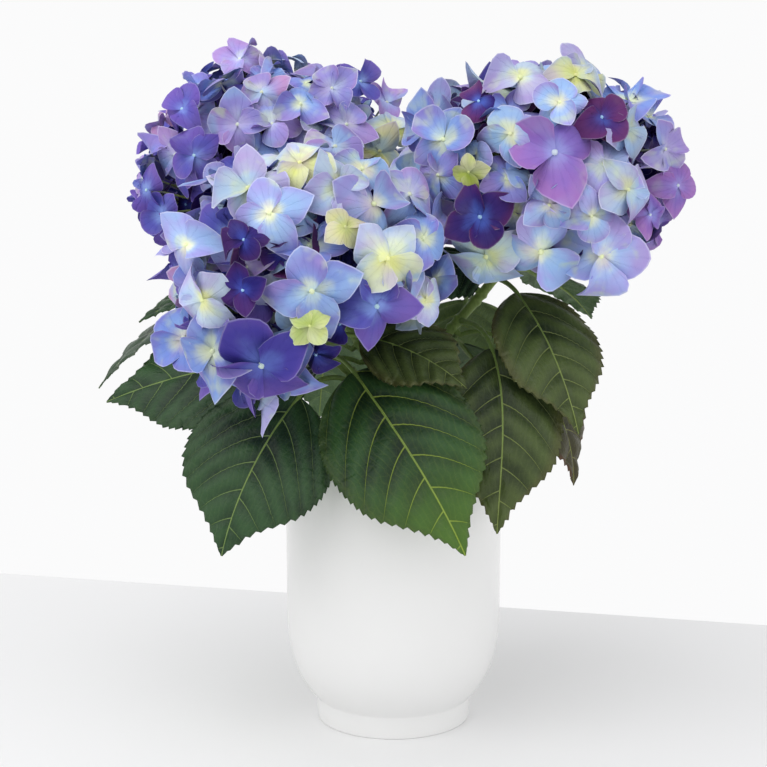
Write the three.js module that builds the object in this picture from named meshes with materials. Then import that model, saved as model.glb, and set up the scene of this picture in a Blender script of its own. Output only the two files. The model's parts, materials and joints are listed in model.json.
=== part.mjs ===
import * as THREE from 'three';
import { mergeVertices } from 'three/addons/utils/BufferGeometryUtils.js';

// A mophead hydrangea in its pot, in millimetres. +Z is up, and the origin is the centre
// of the pot's flat underside. Three shoots leave one short woody stem, and each carries
// leaves on stalks and ends in the underside of a domed flower head.

const gap = 0.5; // clearance between neighbouring solids
const potFacets = 28;

const pot = {
  radius: 70,
  height: 186,
  wall: 5,
  lip: 1.5,
  footRadius: 50,
  footTopRadius: 50.8,
  footHeight: 14.8,
  shoulderHeight: 78, // where the rounded lower part ends and the side is straight
  floorHeight: 22,
  footBevel: 0.8,
  sideHandles: { back: 6, low: 15, high: 29 }, // where the rounded side's curve is pulled to
  sideSteps: 7,
};

const soil = { height: 166, crown: 3, crownAt: 0.6, crownDrop: 0.3 };

const trunk = { height: 27, topRadius: 9.4, flare: 6.5, lean: [2.5, -1.5], facets: 14, rings: 6 };

const shoot = { footRadius: 3.8, tipRadius: 2.9, footCircle: 5.2, facets: 10, rings: 12 };

// A head is an uneven ellipsoid: reach holds its half width, half depth, and its height
// above and below the centre. It is flat across the underside, which the shoot meets
// square on, and where it leans on a neighbour. It sags to one side, and the front head is
// also cut back on its lower right.
const heads = {
  front: {
    centre: [-55, -66, 300], reach: [84, 74, 80, 72], under: [0.05, 0.65, -0.76], depth: 46,
    foot: 238, sagTo: [-0.45, -0.3, -0.85], sag: 20, phase: 0.6,
    cut: { towards: [0.6, -0.25, -0.76], distance: 58 },
  },
  left: {
    centre: [-76, 70, 350], reach: [87, 80, 83, 60], under: [0.3, -0.1, -0.95], depth: 44,
    foot: 122, sagTo: [-1, 0, -0.3], sag: 14, phase: 2.1,
  },
  right: {
    centre: [92, 2, 356], reach: [85, 80, 74, 70], under: [-0.25, 0.4, -0.88], depth: 46,
    foot: 0, sagTo: [0.9, -0.3, -0.3], sag: 4, phase: 4.4,
  },
};
const lumps = { size: 0.035, pitch: 7 };
const headDetail = 5; // 720 faces to a head

// Angles are in degrees. turn is the compass direction of a leaf from +X towards +Y;
// rise, pitch and fall are the slopes of its stalk, of the blade's foot and of its tip;
// face is the direction that the upper side looks to, and sweep the blade's sideways bend.
const leafDefaults = { stalk: 26, length: 110, width: 74, rise: 25, pitch: 0, fall: -50, sweep: 0 };
const leafShape = {
  broadest: 0.42,
  footPower: 0.62, // how round the blade's foot is
  drawnFrom: 0.62, // the tip is drawn out from here on
  drawnTo: 0.98,
  drawnBy: 0.55,
  fold: 0.1,
  droop: 0.16,
  thickness: 1.6,
  fullWidth: 10, // half width at which the blade is as thin as it gets
  stalkRadius: 1.7,
};
const leafSteps = { stalk: 3, blade: 9, across: 4, easing: 0.45, rib: 60 };

const leaves = {
  front: [
    {
      name: 'leaf_front_left', at: 0.5, turn: 228, stalk: 45, length: 112, width: 98,
      rise: 26, pitch: -38, fall: -76, face: 262, sweep: -16,
    },
    {
      name: 'leaf_front_middle', at: 0.73, turn: 298, stalk: 28, length: 138, width: 98,
      rise: 4, pitch: -32, fall: -64, face: 262, sweep: 38,
    },
    {
      name: 'leaf_left', at: 0.7, turn: 170, stalk: 24, length: 124, width: 92,
      rise: 5, pitch: -6, fall: -24, face: 240,
    },
    {
      name: 'leaf_front_small', at: 0.9, turn: 348, stalk: 24, length: 78, width: 58,
      rise: 12, pitch: -6, fall: -36, face: 285, sweep: -20,
    },
  ],
  left: [
    {
      name: 'leaf_left_narrow', at: 0.77, turn: 188, length: 138, width: 60,
      rise: 12, pitch: -4, fall: -54, face: 190,
    },
    {
      name: 'leaf_left_upper', at: 0.93, turn: 196, length: 88, width: 54,
      rise: -8, pitch: -14, fall: -30, face: 200,
    },
    {
      name: 'leaf_back_left', at: 0.62, turn: 100, length: 118, width: 84,
      rise: 25, pitch: -30, fall: -70,
    },
    {
      name: 'leaf_left_rear', at: 0.42, turn: 145, length: 120, width: 86,
      rise: 30, pitch: -30, fall: -72,
    },
    {
      name: 'leaf_left_lower', at: 0.32, turn: 196, stalk: 30, length: 96, width: 72,
      rise: 30, pitch: -30, fall: -78,
    },
    {
      name: 'leaf_back_upper', at: 0.92, turn: 76, length: 90, width: 60,
      rise: 15, pitch: -15, fall: -55,
    },
    {
      name: 'leaf_middle', at: 0.64, turn: 334, stalk: 16, length: 54, width: 42,
      rise: 30, pitch: 5, fall: -35,
    },
  ],
  right: [
    {
      name: 'leaf_front_right', at: 0.55, turn: 302, stalk: 40, length: 124, width: 76,
      rise: 5, pitch: -40, fall: -84, face: 274, sweep: -58,
    },
    {
      name: 'leaf_right_upper', at: 0.8, turn: 298, stalk: 22, length: 110, width: 68,
      rise: -5, pitch: -28, fall: -66, face: 285,
    },
    {
      name: 'leaf_right_lower', at: 0.5, turn: 2, length: 116, width: 76,
      rise: 25, pitch: -35, fall: -90, face: 320,
    },
    {
      name: 'leaf_back_right', at: 0.42, turn: 58, length: 120, width: 86,
      rise: 25, pitch: -32, fall: -74,
    },
    {
      name: 'leaf_right_rear', at: 0.84, turn: 48, length: 82, width: 54,
      rise: 4, pitch: -14, fall: -44,
    },
    {
      name: 'leaf_inner_upper', at: 0.84, turn: 214, stalk: 14, length: 58, width: 46,
      rise: 8, pitch: 2, fall: -38, face: 275,
    },
    {
      name: 'leaf_inner', at: 0.7, turn: 196, stalk: 18, length: 72, width: 54,
      rise: 25, pitch: 8, fall: -34, face: 270,
    },
    {
      name: 'leaf_back_middle', at: 0.66, turn: 98, length: 116, width: 82,
      rise: 20, pitch: -32, fall: -74,
    },
  ],
};

const colours = {
  pot: 0xf2f2f0, soil: 0x33261c, trunk: 0x6f5a3d, shoot: 0x7c9448,
  leaf: 0x3f5f2c, front: 0x8d97d8, left: 0x7f7cc8, right: 0xa6b3dd,
};

const hydrangea = new THREE.Group();
const up = new THREE.Vector3(0, 0, 1);
const vector = ([x, y, z]) => new THREE.Vector3(x, y, z);
const radians = THREE.MathUtils.degToRad;
const compass = (turn) => new THREE.Vector3(1, 0, 0).applyAxisAngle(up, radians(turn));

function addPart(name, geometry, colour, roughness) {
  geometry.deleteAttribute('normal');
  geometry.deleteAttribute('uv');
  const closed = mergeVertices(geometry, 1e-4);
  closed.computeVertexNormals();
  const material = new THREE.MeshStandardMaterial({ color: colour, roughness, metalness: 0 });
  const mesh = new THREE.Mesh(closed, material);
  mesh.name = name;
  hydrangea.add(mesh);
}

// Moves every vertex of a geometry by a function of its position.
function reshape(geometry, place) {
  const points = geometry.attributes.position;
  for (let i = 0; i < points.count; i++) {
    const moved = place(new THREE.Vector3().fromBufferAttribute(points, i));
    points.setXYZ(i, moved.x, moved.y, moved.z);
  }
  return geometry;
}

// Turns a profile of radius and height points about the Z axis.
function turned(profile) {
  return new THREE.LatheGeometry(profile, potFacets).rotateX(Math.PI / 2);
}

// The rounded lower part of the pot, offset inwards, from a given height up to the shoulder.
function potSide(inset, fromHeight) {
  const { back, low, high } = pot.sideHandles;
  const wide = pot.radius - inset;
  const curve = new THREE.CubicBezierCurve(
    new THREE.Vector2(pot.footTopRadius - inset, fromHeight),
    new THREE.Vector2(wide - back, fromHeight + low),
    new THREE.Vector2(wide, fromHeight + high),
    new THREE.Vector2(wide, pot.shoulderHeight),
  );
  return curve.getPoints(pot.sideSteps);
}

function addPot() {
  const inner = pot.radius - pot.wall;
  const profile = [
    new THREE.Vector2(0, 0),
    new THREE.Vector2(pot.footRadius - pot.footBevel, 0),
    new THREE.Vector2(pot.footRadius, pot.footBevel),
    ...potSide(0, pot.footHeight),
    new THREE.Vector2(pot.radius, pot.height - pot.lip),
    new THREE.Vector2(pot.radius - pot.lip, pot.height),
    new THREE.Vector2(inner + pot.lip, pot.height),
    new THREE.Vector2(inner, pot.height - pot.lip),
    ...potSide(pot.wall, pot.floorHeight).reverse(),
    new THREE.Vector2(0, pot.floorHeight),
  ];
  addPart('pot', turned(profile), colours.pot, 0.4);
}

function addSoil() {
  const inner = pot.radius - pot.wall - gap;
  const profile = [
    new THREE.Vector2(0, pot.floorHeight + gap),
    ...potSide(pot.wall + gap, pot.floorHeight + gap),
    new THREE.Vector2(inner, soil.height - soil.crown),
    new THREE.Vector2(inner * soil.crownAt, soil.height - soil.crown * soil.crownDrop),
    new THREE.Vector2(trunk.topRadius + trunk.flare, soil.height),
    new THREE.Vector2(0, soil.height),
  ];
  addPart('soil', turned(profile), colours.soil, 0.95);
}

// A tapered round limb along a curve: a cylinder whose rings are carried along it.
function limb(curve, radiusAt, facets, rings) {
  const frames = curve.computeFrenetFrames(rings, false);
  return reshape(new THREE.CylinderGeometry(1, 1, 1, facets, rings), (p) => {
    const ring = Math.round((p.y + 0.5) * rings);
    const radius = radiusAt(ring / rings);
    return curve.getPointAt(ring / rings)
      .addScaledVector(frames.normals[ring], p.x * radius)
      .addScaledVector(frames.binormals[ring], -p.z * radius);
  });
}

function addTrunk() {
  const foot = soil.height + gap;
  const curve = new THREE.CubicBezierCurve3(
    new THREE.Vector3(trunk.lean[0], trunk.lean[1], foot),
    new THREE.Vector3(trunk.lean[0], trunk.lean[1], foot + trunk.height / 3),
    new THREE.Vector3(0, 0, foot + trunk.height * 2 / 3),
    new THREE.Vector3(0, 0, foot + trunk.height),
  );
  const radiusAt = (t) => trunk.topRadius + trunk.flare * (1 - t) ** 3;
  addPart('main_stem', limb(curve, radiusAt, trunk.facets, trunk.rings), colours.trunk, 0.9);
}

function prepareHeads() {
  for (const head of Object.values(heads)) {
    head.centre = vector(head.centre);
    head.under = vector(head.under).normalize();
    head.sagTo = vector(head.sagTo).normalize();
    head.flats = [{ towards: head.under, distance: head.depth }];
    if (head.cut) {
      head.flats.push({ towards: vector(head.cut.towards).normalize(), distance: head.cut.distance });
    }
  }
  const list = Object.values(heads);
  for (let i = 0; i < list.length; i++) {
    for (let j = i + 1; j < list.length; j++) {
      leanTogether(list[i], list[j]);
    }
  }
}

// Distance from a head's centre to its surface in one direction.
function headRadius(head, direction) {
  const [wide, deep, above, below] = head.reach;
  const tall = direction.z > 0 ? above : below;
  const round = 1 / Math.hypot(direction.x / wide, direction.y / deep, direction.z / tall);
  const { size, pitch } = lumps;
  const bump = Math.sin(pitch * direction.x + head.phase)
    * Math.cos(pitch * direction.y - head.phase)
    * Math.cos(pitch * direction.z + 2 * head.phase);
  const sag = head.sag * Math.max(0, direction.dot(head.sagTo)) ** 4;
  let radius = round * (1 + size * bump) + sag;
  for (const flat of head.flats) {
    const slope = direction.dot(flat.towards);
    if (slope > 0) radius = Math.min(radius, flat.distance / slope);
  }
  return radius;
}

// Flattens two heads on the plane between them, in the share of their sizes.
function leanTogether(one, other) {
  const between = other.centre.clone().sub(one.centre);
  const distance = between.length();
  const towards = between.normalize();
  const away = towards.clone().negate();
  const oneRadius = headRadius(one, towards);
  const otherRadius = headRadius(other, away);
  const share = (distance - gap) / (oneRadius + otherRadius);
  one.flats.push({ towards, distance: oneRadius * share });
  other.flats.push({ towards: away, distance: otherRadius * share });
}

function addHead(side) {
  const head = heads[side];
  const ball = new THREE.IcosahedronGeometry(1, headDetail);
  const shape = reshape(ball, (p) => {
    const direction = p.normalize();
    return head.centre.clone().addScaledVector(direction, headRadius(head, direction));
  });
  addPart(`flower_head_${side}`, shape, colours[side], 0.8);
}

// The centre line of a shoot: up out of the main stem, then square into its head.
function shootCurve(side) {
  const head = heads[side];
  const top = head.centre.clone().addScaledVector(head.under, head.depth + gap);
  const foot = compass(head.foot).multiplyScalar(shoot.footCircle);
  foot.z = soil.height + trunk.height + 2 * gap;
  const reach = top.distanceTo(foot) / 3;
  return new THREE.CubicBezierCurve3(
    foot,
    foot.clone().addScaledVector(up, reach),
    top.clone().addScaledVector(head.under, reach),
    top,
  );
}

const shootRadius = (t) => THREE.MathUtils.lerp(shoot.footRadius, shoot.tipRadius, t);

// Share of the full half width at a share t of the blade's length: rounded foot, drawn-out tip.
function bladeOutline(t) {
  const { broadest, footPower, drawnFrom, drawnTo, drawnBy } = leafShape;
  const tipPower = footPower * (1 / broadest - 1);
  const outline = (s) => s ** footPower * (1 - s) ** tipPower;
  const drawn = 1 - drawnBy * THREE.MathUtils.smoothstep(t, drawnFrom, drawnTo);
  return drawn * outline(t) / outline(broadest);
}

// Places the points of one leaf. t runs from 0 at the shoot to 1 at the tip, side from -1 to 1
// across the blade, and skin is -1 on the underside and 1 on top.
function leafSurface(leaf, start) {
  const total = leaf.stalk + leaf.length;
  const stalkShare = leaf.stalk / total;
  const face = vector([Math.cos(radians(leaf.face)), Math.sin(radians(leaf.face)), 1]);
  const slopeAt = (t) => (t < stalkShare
    ? THREE.MathUtils.lerp(leaf.rise, leaf.pitch, t / stalkShare)
    : THREE.MathUtils.lerp(leaf.pitch, leaf.fall, (t - stalkShare) / (1 - stalkShare)));
  const headingAt = (t) => {
    const slope = radians(slopeAt(t));
    const turn = radians(leaf.turn + leaf.sweep * t);
    return vector([Math.cos(turn) * Math.cos(slope), Math.sin(turn) * Math.cos(slope), Math.sin(slope)]);
  };
  const steps = leafSteps.rib;
  const rib = [start.clone()];
  for (let i = 0; i < steps; i++) {
    const step = headingAt((i + 0.5) / steps).multiplyScalar(total / steps);
    rib.push(rib[i].clone().add(step));
  }
  const { stalkRadius, thickness, fullWidth, fold, droop } = leafShape;
  return (t, side, skin) => {
    const whole = Math.min(Math.floor(t * steps), steps - 1);
    const middle = rib[whole].clone().lerp(rib[whole + 1], t * steps - whole);
    const heading = headingAt(t);
    const normal = face.clone().addScaledVector(heading, -face.dot(heading)).normalize();
    const across = new THREE.Vector3().crossVectors(heading, normal);
    const blade = Math.max(0, (t - stalkShare) / (1 - stalkShare));
    const wide = leaf.width / 2 * bladeOutline(blade);
    const half = Math.max(wide, THREE.MathUtils.lerp(stalkRadius, thickness / 2, blade));
    const away = Math.abs(side);
    const lift = wide * (fold * away - droop * away * away);
    const thick = THREE.MathUtils.lerp(stalkRadius, thickness / 2, Math.min(1, wide / fullWidth));
    return middle.addScaledVector(across, side * half).addScaledVector(normal, lift + skin * thick);
  };
}

// The steps along a leaf: a few for the stalk, the rest for the blade, closer at both its ends.
function leafStation(step, stalkShare) {
  if (step <= leafSteps.stalk) return stalkShare * step / leafSteps.stalk;
  const blade = (step - leafSteps.stalk) / leafSteps.blade;
  const eased = (1 - Math.cos(Math.PI * blade)) / 2;
  return stalkShare + (1 - stalkShare) * THREE.MathUtils.lerp(blade, eased, leafSteps.easing);
}

function addLeaf(row, curve) {
  const leaf = { ...leafDefaults, face: row.turn, ...row };
  const along = curve.getTangentAt(leaf.at);
  const outwards = compass(leaf.turn);
  outwards.addScaledVector(along, -outwards.dot(along)).normalize();
  const clearance = shootRadius(leaf.at) + 2 * leafShape.stalkRadius + gap;
  const start = curve.getPointAt(leaf.at).addScaledVector(outwards, clearance);
  const place = leafSurface(leaf, start);
  const steps = leafSteps.stalk + leafSteps.blade;
  const stalkShare = leaf.stalk / (leaf.stalk + leaf.length);
  const slab = new THREE.BoxGeometry(2, steps, 2, leafSteps.across, steps, 1);
  const shape = reshape(slab, (p) => {
    const station = leafStation(Math.round(p.y + steps / 2), stalkShare);
    return place(station, p.x, p.z);
  });
  addPart(leaf.name, shape, colours.leaf, 0.55);
}

function addShoot(side) {
  const curve = shootCurve(side);
  addPart(`shoot_${side}`, limb(curve, shootRadius, shoot.facets, shoot.rings), colours.shoot, 0.7);
  for (const row of leaves[side]) addLeaf(row, curve);
}

addPot();
addSoil();
addTrunk();
prepareHeads();
for (const side of Object.keys(heads)) {
  addShoot(side);
  addHead(side);
}

export default hydrangea;
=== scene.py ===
import json
import math

import bpy
import numpy as np
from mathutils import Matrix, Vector
from mathutils.bvhtree import BVHTree

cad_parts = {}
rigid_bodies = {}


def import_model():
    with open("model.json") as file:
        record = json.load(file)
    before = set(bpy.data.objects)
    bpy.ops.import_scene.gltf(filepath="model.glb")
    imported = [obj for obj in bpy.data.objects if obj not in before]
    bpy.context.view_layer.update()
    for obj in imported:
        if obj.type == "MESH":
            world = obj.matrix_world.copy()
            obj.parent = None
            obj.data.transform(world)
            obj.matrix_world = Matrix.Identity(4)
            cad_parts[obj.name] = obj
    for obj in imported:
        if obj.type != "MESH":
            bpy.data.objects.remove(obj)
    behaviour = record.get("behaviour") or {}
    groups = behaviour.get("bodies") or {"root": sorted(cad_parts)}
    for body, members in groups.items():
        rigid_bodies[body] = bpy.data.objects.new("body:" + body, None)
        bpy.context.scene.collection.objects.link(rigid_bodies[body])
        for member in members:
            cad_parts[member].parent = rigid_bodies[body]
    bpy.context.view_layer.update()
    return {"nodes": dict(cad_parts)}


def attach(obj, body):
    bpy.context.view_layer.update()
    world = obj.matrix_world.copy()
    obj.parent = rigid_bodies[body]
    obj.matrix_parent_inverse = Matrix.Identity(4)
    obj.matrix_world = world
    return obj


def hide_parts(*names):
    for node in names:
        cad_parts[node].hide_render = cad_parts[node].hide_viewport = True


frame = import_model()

# A mophead hydrangea in a white pot. Metres, +Z up, origin under the middle of the pot.
mm = 0.001
scene = bpy.context.scene


view = {
    "place": (-0.0065, -1.2221, 0.4431), "down": 10.22, "lens": 90.3, "film": 36.0,
    "horizon": (0.965, 0.965, 0.968, 1.0), "zenith": (0.76, 0.76, 0.77, 1.0), "skyTurn": (0.1, 0.75),
    "skyStrength": 1.0,
    "table": {"near": -3.0, "far": 0.261, "slant": -0.236, "halfWidth": 2.5,
              "pale": "f0f0f0", "dull": "ededed", "clouds": (3.0, 2.0), "roughness": (0.5, 0.1)},
    "lamps": [
        {"name": "window_left", "place": (-0.7, -0.75, 1.8), "size": 2.1, "watts": 19.0},
        {"name": "fill_right", "place": (1.3, -0.9, 0.8), "size": 1.2, "watts": 2.5},
    ],
    "aim": (0.0, 0.0, 0.24),
}


def addCamera():
    data = bpy.data.cameras.new("camera")
    data.lens = view["lens"]
    data.sensor_width = view["film"]
    camera = bpy.data.objects.new("camera", data)
    camera.location = view["place"]
    camera.rotation_euler = (math.radians(90 - view["down"]), 0, 0)
    scene.collection.objects.link(camera)
    scene.camera = camera


def addLights():
    scene.view_settings.view_transform = "Standard"
    world = bpy.data.worlds.new("sky")
    world.use_nodes = True
    # The sky is bright low down, all the way round, and greyer overhead.
    board = Board(world.node_tree)
    parts = board.node("ShaderNodeSeparateXYZ", None, {0: board.node("ShaderNodeTexCoord")})
    glow = board.blend(board.ease(parts.other("Z"), *view["skyTurn"]), view["horizon"], view["zenith"])
    sky = world.node_tree.nodes["Background"]
    board.feed(sky.inputs["Color"], glow)
    sky.inputs["Strength"].default_value = view["skyStrength"]
    scene.world = world
    for lamp in view["lamps"]:
        data = bpy.data.lights.new(lamp["name"], "AREA")
        data.size = lamp["size"]
        data.energy = lamp["watts"]
        light = bpy.data.objects.new(lamp["name"], data)
        light.location = lamp["place"]
        aim = Vector(view["aim"]) - light.location
        light.rotation_euler = aim.to_track_quat("-Z", "Y").to_euler()
        scene.collection.objects.link(light)


class Wire:
    # A socket that adds its own maths nodes when it is used in an expression.
    def __init__(self, board, socket):
        self.board = board
        self.socket = socket

    def maths(self, operation, *values):
        return self.board.node("ShaderNodeMath", {"operation": operation}, dict(enumerate(values)))

    def other(self, output):
        return Wire(self.board, self.socket.node.outputs[output])

    def __add__(self, value):
        return self.maths("ADD", self, value)

    def __radd__(self, value):
        return self.maths("ADD", value, self)

    def __sub__(self, value):
        return self.maths("SUBTRACT", self, value)

    def __rsub__(self, value):
        return self.maths("SUBTRACT", value, self)

    def __mul__(self, value):
        return self.maths("MULTIPLY", self, value)

    def __rmul__(self, value):
        return self.maths("MULTIPLY", value, self)

    def __abs__(self):
        return self.maths("ABSOLUTE", self)


class Board:
    # One node tree, with a method that makes any node in it. A colour may be six hex digits.
    def __init__(self, tree):
        self.tree = tree

    def node(self, kind, settings=None, sockets=None, output=0):
        made = self.tree.nodes.new(kind)
        for name, value in (settings or {}).items():
            setattr(made, name, value)
        for name, value in (sockets or {}).items():
            self.feed(made.inputs[name], value)
        return Wire(self, made.outputs[output])

    def feed(self, socket, value):
        if isinstance(value, Wire):
            self.tree.links.new(value.socket, socket)
        elif isinstance(value, str) and socket.type == "RGBA":
            socket.default_value = paint(value)
        else:
            socket.default_value = value

    def blend(self, share, one, other, mode="MIX"):
        settings = {"data_type": "RGBA", "blend_type": mode}
        return self.node("ShaderNodeMix", settings, {0: share, 6: one, 7: other}, 2)

    def ease(self, value, low, high):
        sockets = {"Value": value, "From Min": low, "From Max": high}
        return self.node("ShaderNodeMapRange", {"interpolation_type": "SMOOTHSTEP"}, sockets)

    def noise(self, place, scale, detail):
        return self.node("ShaderNodeTexNoise", None, {"Vector": place, "Scale": scale, "Detail": detail})

    def attribute(self, name, output):
        return self.node("ShaderNodeAttribute", {"attribute_name": name}, None, output)

    def place(self):
        return self.node("ShaderNodeTexCoord", None, None, "Object")


def newFinish(name, constants):
    material = bpy.data.materials.new(name)
    material.use_nodes = True
    shader = material.node_tree.nodes["Principled BSDF"]
    for socket, value in constants.items():
        shader.inputs[socket].default_value = value
    return material, Board(material.node_tree), shader


def coverWith(board, shader, colour, roughness):
    board.feed(shader.inputs["Base Color"], colour)
    board.feed(shader.inputs["Roughness"], roughness)


def addRelief(board, shader, height, distance, strength):
    sockets = {"Height": height, "Distance": distance, "Strength": strength}
    board.feed(shader.inputs["Normal"], board.node("ShaderNodeBump", None, sockets))


def newTree(name, inputs):
    tree = bpy.data.node_groups.new(name, "GeometryNodeTree")
    tree.interface.new_socket("Geometry", in_out="INPUT", socket_type="NodeSocketGeometry")
    for label, kind in inputs.items():
        tree.interface.new_socket(label, in_out="INPUT", socket_type="NodeSocket" + kind)
    tree.interface.new_socket("Geometry", in_out="OUTPUT", socket_type="NodeSocketGeometry")
    board = Board(tree)
    return board, board.node("NodeGroupInput")


# The last nodes of every tree: instances made real, one material, smooth faces.
def endTree(board, geometry, material):
    real = board.node("GeometryNodeRealizeInstances", None, {"Geometry": geometry})
    smooth = board.node("GeometryNodeSetShadeSmooth", None, {"Geometry": real})
    done = board.node("GeometryNodeSetMaterial", None, {"Geometry": smooth, "Material": material})
    end = board.tree.nodes.new("NodeGroupOutput")
    board.feed(end.inputs["Geometry"], done)
    return board.tree


# Runs a tree on an object and keeps the result as the object's plain mesh.
def runTree(tree, piece, values):
    modifier = piece.modifiers.new("grow", "NODES")
    modifier.node_group = tree
    for item in tree.interface.items_tree:
        if item.in_out == "INPUT" and item.name in values:
            modifier[item.identifier] = values[item.name]
    graph = bpy.context.evaluated_depsgraph_get()
    mesh = bpy.data.meshes.new_from_object(
        piece.evaluated_get(graph), preserve_all_data_layers=True, depsgraph=graph)
    piece.modifiers.remove(modifier)
    mesh.name = piece.name
    piece.data = mesh
    return piece


def paint(code):
    channels = [int(code[i:i + 2], 16) / 255 for i in (0, 2, 4)]
    linear = [c / 12.92 if c <= 0.04045 else ((c + 0.055) / 1.055) ** 2.4 for c in channels]
    return (*linear, 1.0)


def newPiece(name, points, faces, materials=(), edges=()):
    mesh = bpy.data.meshes.new(name)
    mesh.from_pydata(np.asarray(points, float).tolist(), edges, faces)
    mesh.shade_smooth()
    for material in materials:
        mesh.materials.append(material)
    piece = bpy.data.objects.new(name, mesh)
    scene.collection.objects.link(piece)
    return piece


def keepPiece(piece, slot, *nodes):
    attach(piece, "root")
    if nodes:
        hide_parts(*nodes)
    print(f"{piece.name}: {len(piece.data.polygons)} faces")


def addValues(mesh, name, kind, values):
    layer = mesh.attributes.new(name, kind, "POINT")
    field = {"FLOAT": "value", "INT": "value", "FLOAT_VECTOR": "vector", "FLOAT_COLOR": "color"}[kind]
    layer.data.foreach_set(field, np.asarray(values).ravel())


def addMap(mesh, name, places):
    corners = np.empty(len(mesh.loops), int)
    mesh.loops.foreach_get("vertex_index", corners)
    layer = mesh.uv_layers.new(name=name)
    layer.data.foreach_set("uv", np.asarray(places)[corners].ravel())


def unit(vectors):
    vectors = np.asarray(vectors, float)
    return vectors / np.linalg.norm(vectors, axis=-1, keepdims=True)


# Quads of a grid of points, rows by columns, counted from a first point.
def gridFaces(rows, columns, first=0, flip=False):
    faces = []
    for row in range(rows):
        for column in range(columns):
            corner = first + row * (columns + 1) + column
            quad = [corner, corner + 1, corner + columns + 2, corner + columns + 1]
            faces.append(quad[::-1] if flip else quad)
    return faces


def bezier(points, shares):
    a, b, c, d = (np.asarray(point, float) for point in points)
    t = np.asarray(shares, float)[:, None]
    return a * (1 - t) ** 3 + 3 * b * t * (1 - t) ** 2 + 3 * c * t * t * (1 - t) + d * t ** 3


# Turns a profile of (radius, height) about Z. It starts and ends on the axis.
def turnedShape(profile, sides):
    ring = np.arange(sides) * 2 * math.pi / sides
    circle = np.column_stack([np.cos(ring), np.sin(ring), np.zeros(sides)])
    inner = profile[1:-1]
    points = [np.array([[0, 0, profile[0][1]], [0, 0, profile[-1][1]]])]
    for radius, height in inner:
        points.append(circle * radius + [0, 0, height])
    faces = []
    last = 2 + (len(inner) - 1) * sides
    for side in range(sides):
        after = (side + 1) % sides
        faces.append([0, 2 + after, 2 + side])
        faces.append([1, last + side, last + after])
        for row in range(len(inner) - 1):
            low = 2 + row * sides
            faces.append([low + side, low + after, low + sides + after, low + sides + side])
    return np.vstack(points), faces


def limbTree():
    inputs = {"Sides": "Int", "Relief": "Float", "Grain": "Float", "Material": "Material"}
    board, given = newTree("roundLimbs", inputs)
    line = board.node("GeometryNodeMeshToCurve", None, {"Mesh": given})
    sockets = {"Resolution": given.other("Sides"), "Radius": 1.0}
    ring = board.node("GeometryNodeCurvePrimitiveCircle", None, sockets)
    thick = board.node("GeometryNodeInputNamedAttribute", {"data_type": "FLOAT"}, {"Name": "thick"})
    sockets = {"Curve": line, "Profile Curve": ring, "Scale": thick, "Fill Caps": True}
    tube = board.node("GeometryNodeCurveToMesh", None, sockets)
    grain = board.node("ShaderNodeTexNoise", None, {"Scale": given.other("Grain"), "Detail": 4.0})
    height = (grain - 0.5) * given.other("Relief")
    normal = board.node("GeometryNodeInputNormal")
    sockets = {0: normal, "Scale": height}
    push = board.node("ShaderNodeVectorMath", {"operation": "SCALE"}, sockets)
    rough = board.node("GeometryNodeSetPosition", None, {"Geometry": tube, "Offset": push})
    return endTree(board, rough, given.other("Material"))


# Round limbs in one piece. Each line is a pair: its points, and its radius at each of them.
def growLimbs(name, lines, material, sides, relief=0.0, grain=300.0):
    points = np.vstack([line for line, _ in lines])
    edges = []
    first = 0
    for line, _ in lines:
        edges += [(first + i, first + i + 1) for i in range(len(line) - 1)]
        first += len(line)
    piece = newPiece(name, points, [], (), edges)
    addValues(piece.data, "thick", "FLOAT", np.concatenate([thick for _, thick in lines]))
    shares = np.concatenate([np.linspace(0, 1, len(line)) for line, _ in lines])
    addValues(piece.data, "along", "FLOAT", shares)
    values = {"Sides": sides, "Relief": relief, "Grain": grain, "Material": material}
    return runTree(limbTree(), piece, values)


# The frame's own pot and potting mix, with finer rounds.
pot = {
    "radius": 70 * mm, "height": 186 * mm, "wall": 5 * mm, "lip": 1.5 * mm,
    "footRadius": 50 * mm, "footTopRadius": 50.8 * mm, "footHeight": 14.8 * mm, "footBevel": 0.8 * mm,
    "shoulder": 78 * mm, "floor": 22 * mm, "sideHandles": (6 * mm, 15 * mm, 29 * mm), "sides": 160,
    "footDrop": 0.4 * mm, "straight": (0.09, 0.18), "straightRows": 8,
}
soil = {
    "height": 166 * mm, "crown": 3 * mm, "gap": 0.5 * mm, "rings": 60, "sides": 144,
    "middle": 0.06, "sideDrop": 2 * mm, "sideRows": 12,
    "swell": 2.2 * mm, "swells": 7, "swellFrom": (90, -400, 0), "swellTo": (500, 400, 6),
    "swellWithin": 0.97, "sag": 1.2 * mm,
    "crumbs": 52000.0, "smallest": 0.8 * mm, "largest": 2.9 * mm, "seed": 7,
    "stones": 5, "stoneStretch": (0.5, 1.3), "stoneKnobs": (0.75, 1.2), "stoneTurn": (6.28, 6.28, 6.28),
}
# In every finish, colours are hex, a noise is its scale and detail, and roughness is the
# least value and then what each field adds to it.
glaze = {
    "pale": "eeeeed", "dull": "e9e9e8", "clouds": (9.0, 3.0), "grain": (120.0, 2.0), "grainHeight": 0.04,
    "roughness": (0.3, 0.1, 0.06), "relief": 0.0012, "strength": 0.35, "coat": 0.5, "coatRoughness": 0.12,
}
mix = {
    "dark": "1d150f", "brown": "3b2b1f", "fleck": "59422f", "clods": (220.0, 4.0), "grains": (900.0, 3.0),
    "clodStep": (0.35, 0.65), "fleckStep": (0.5, 0.75), "grainHeight": 0.5,
    "roughness": (0.85, 0.15), "relief": 0.0015, "strength": 0.8,
}


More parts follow.
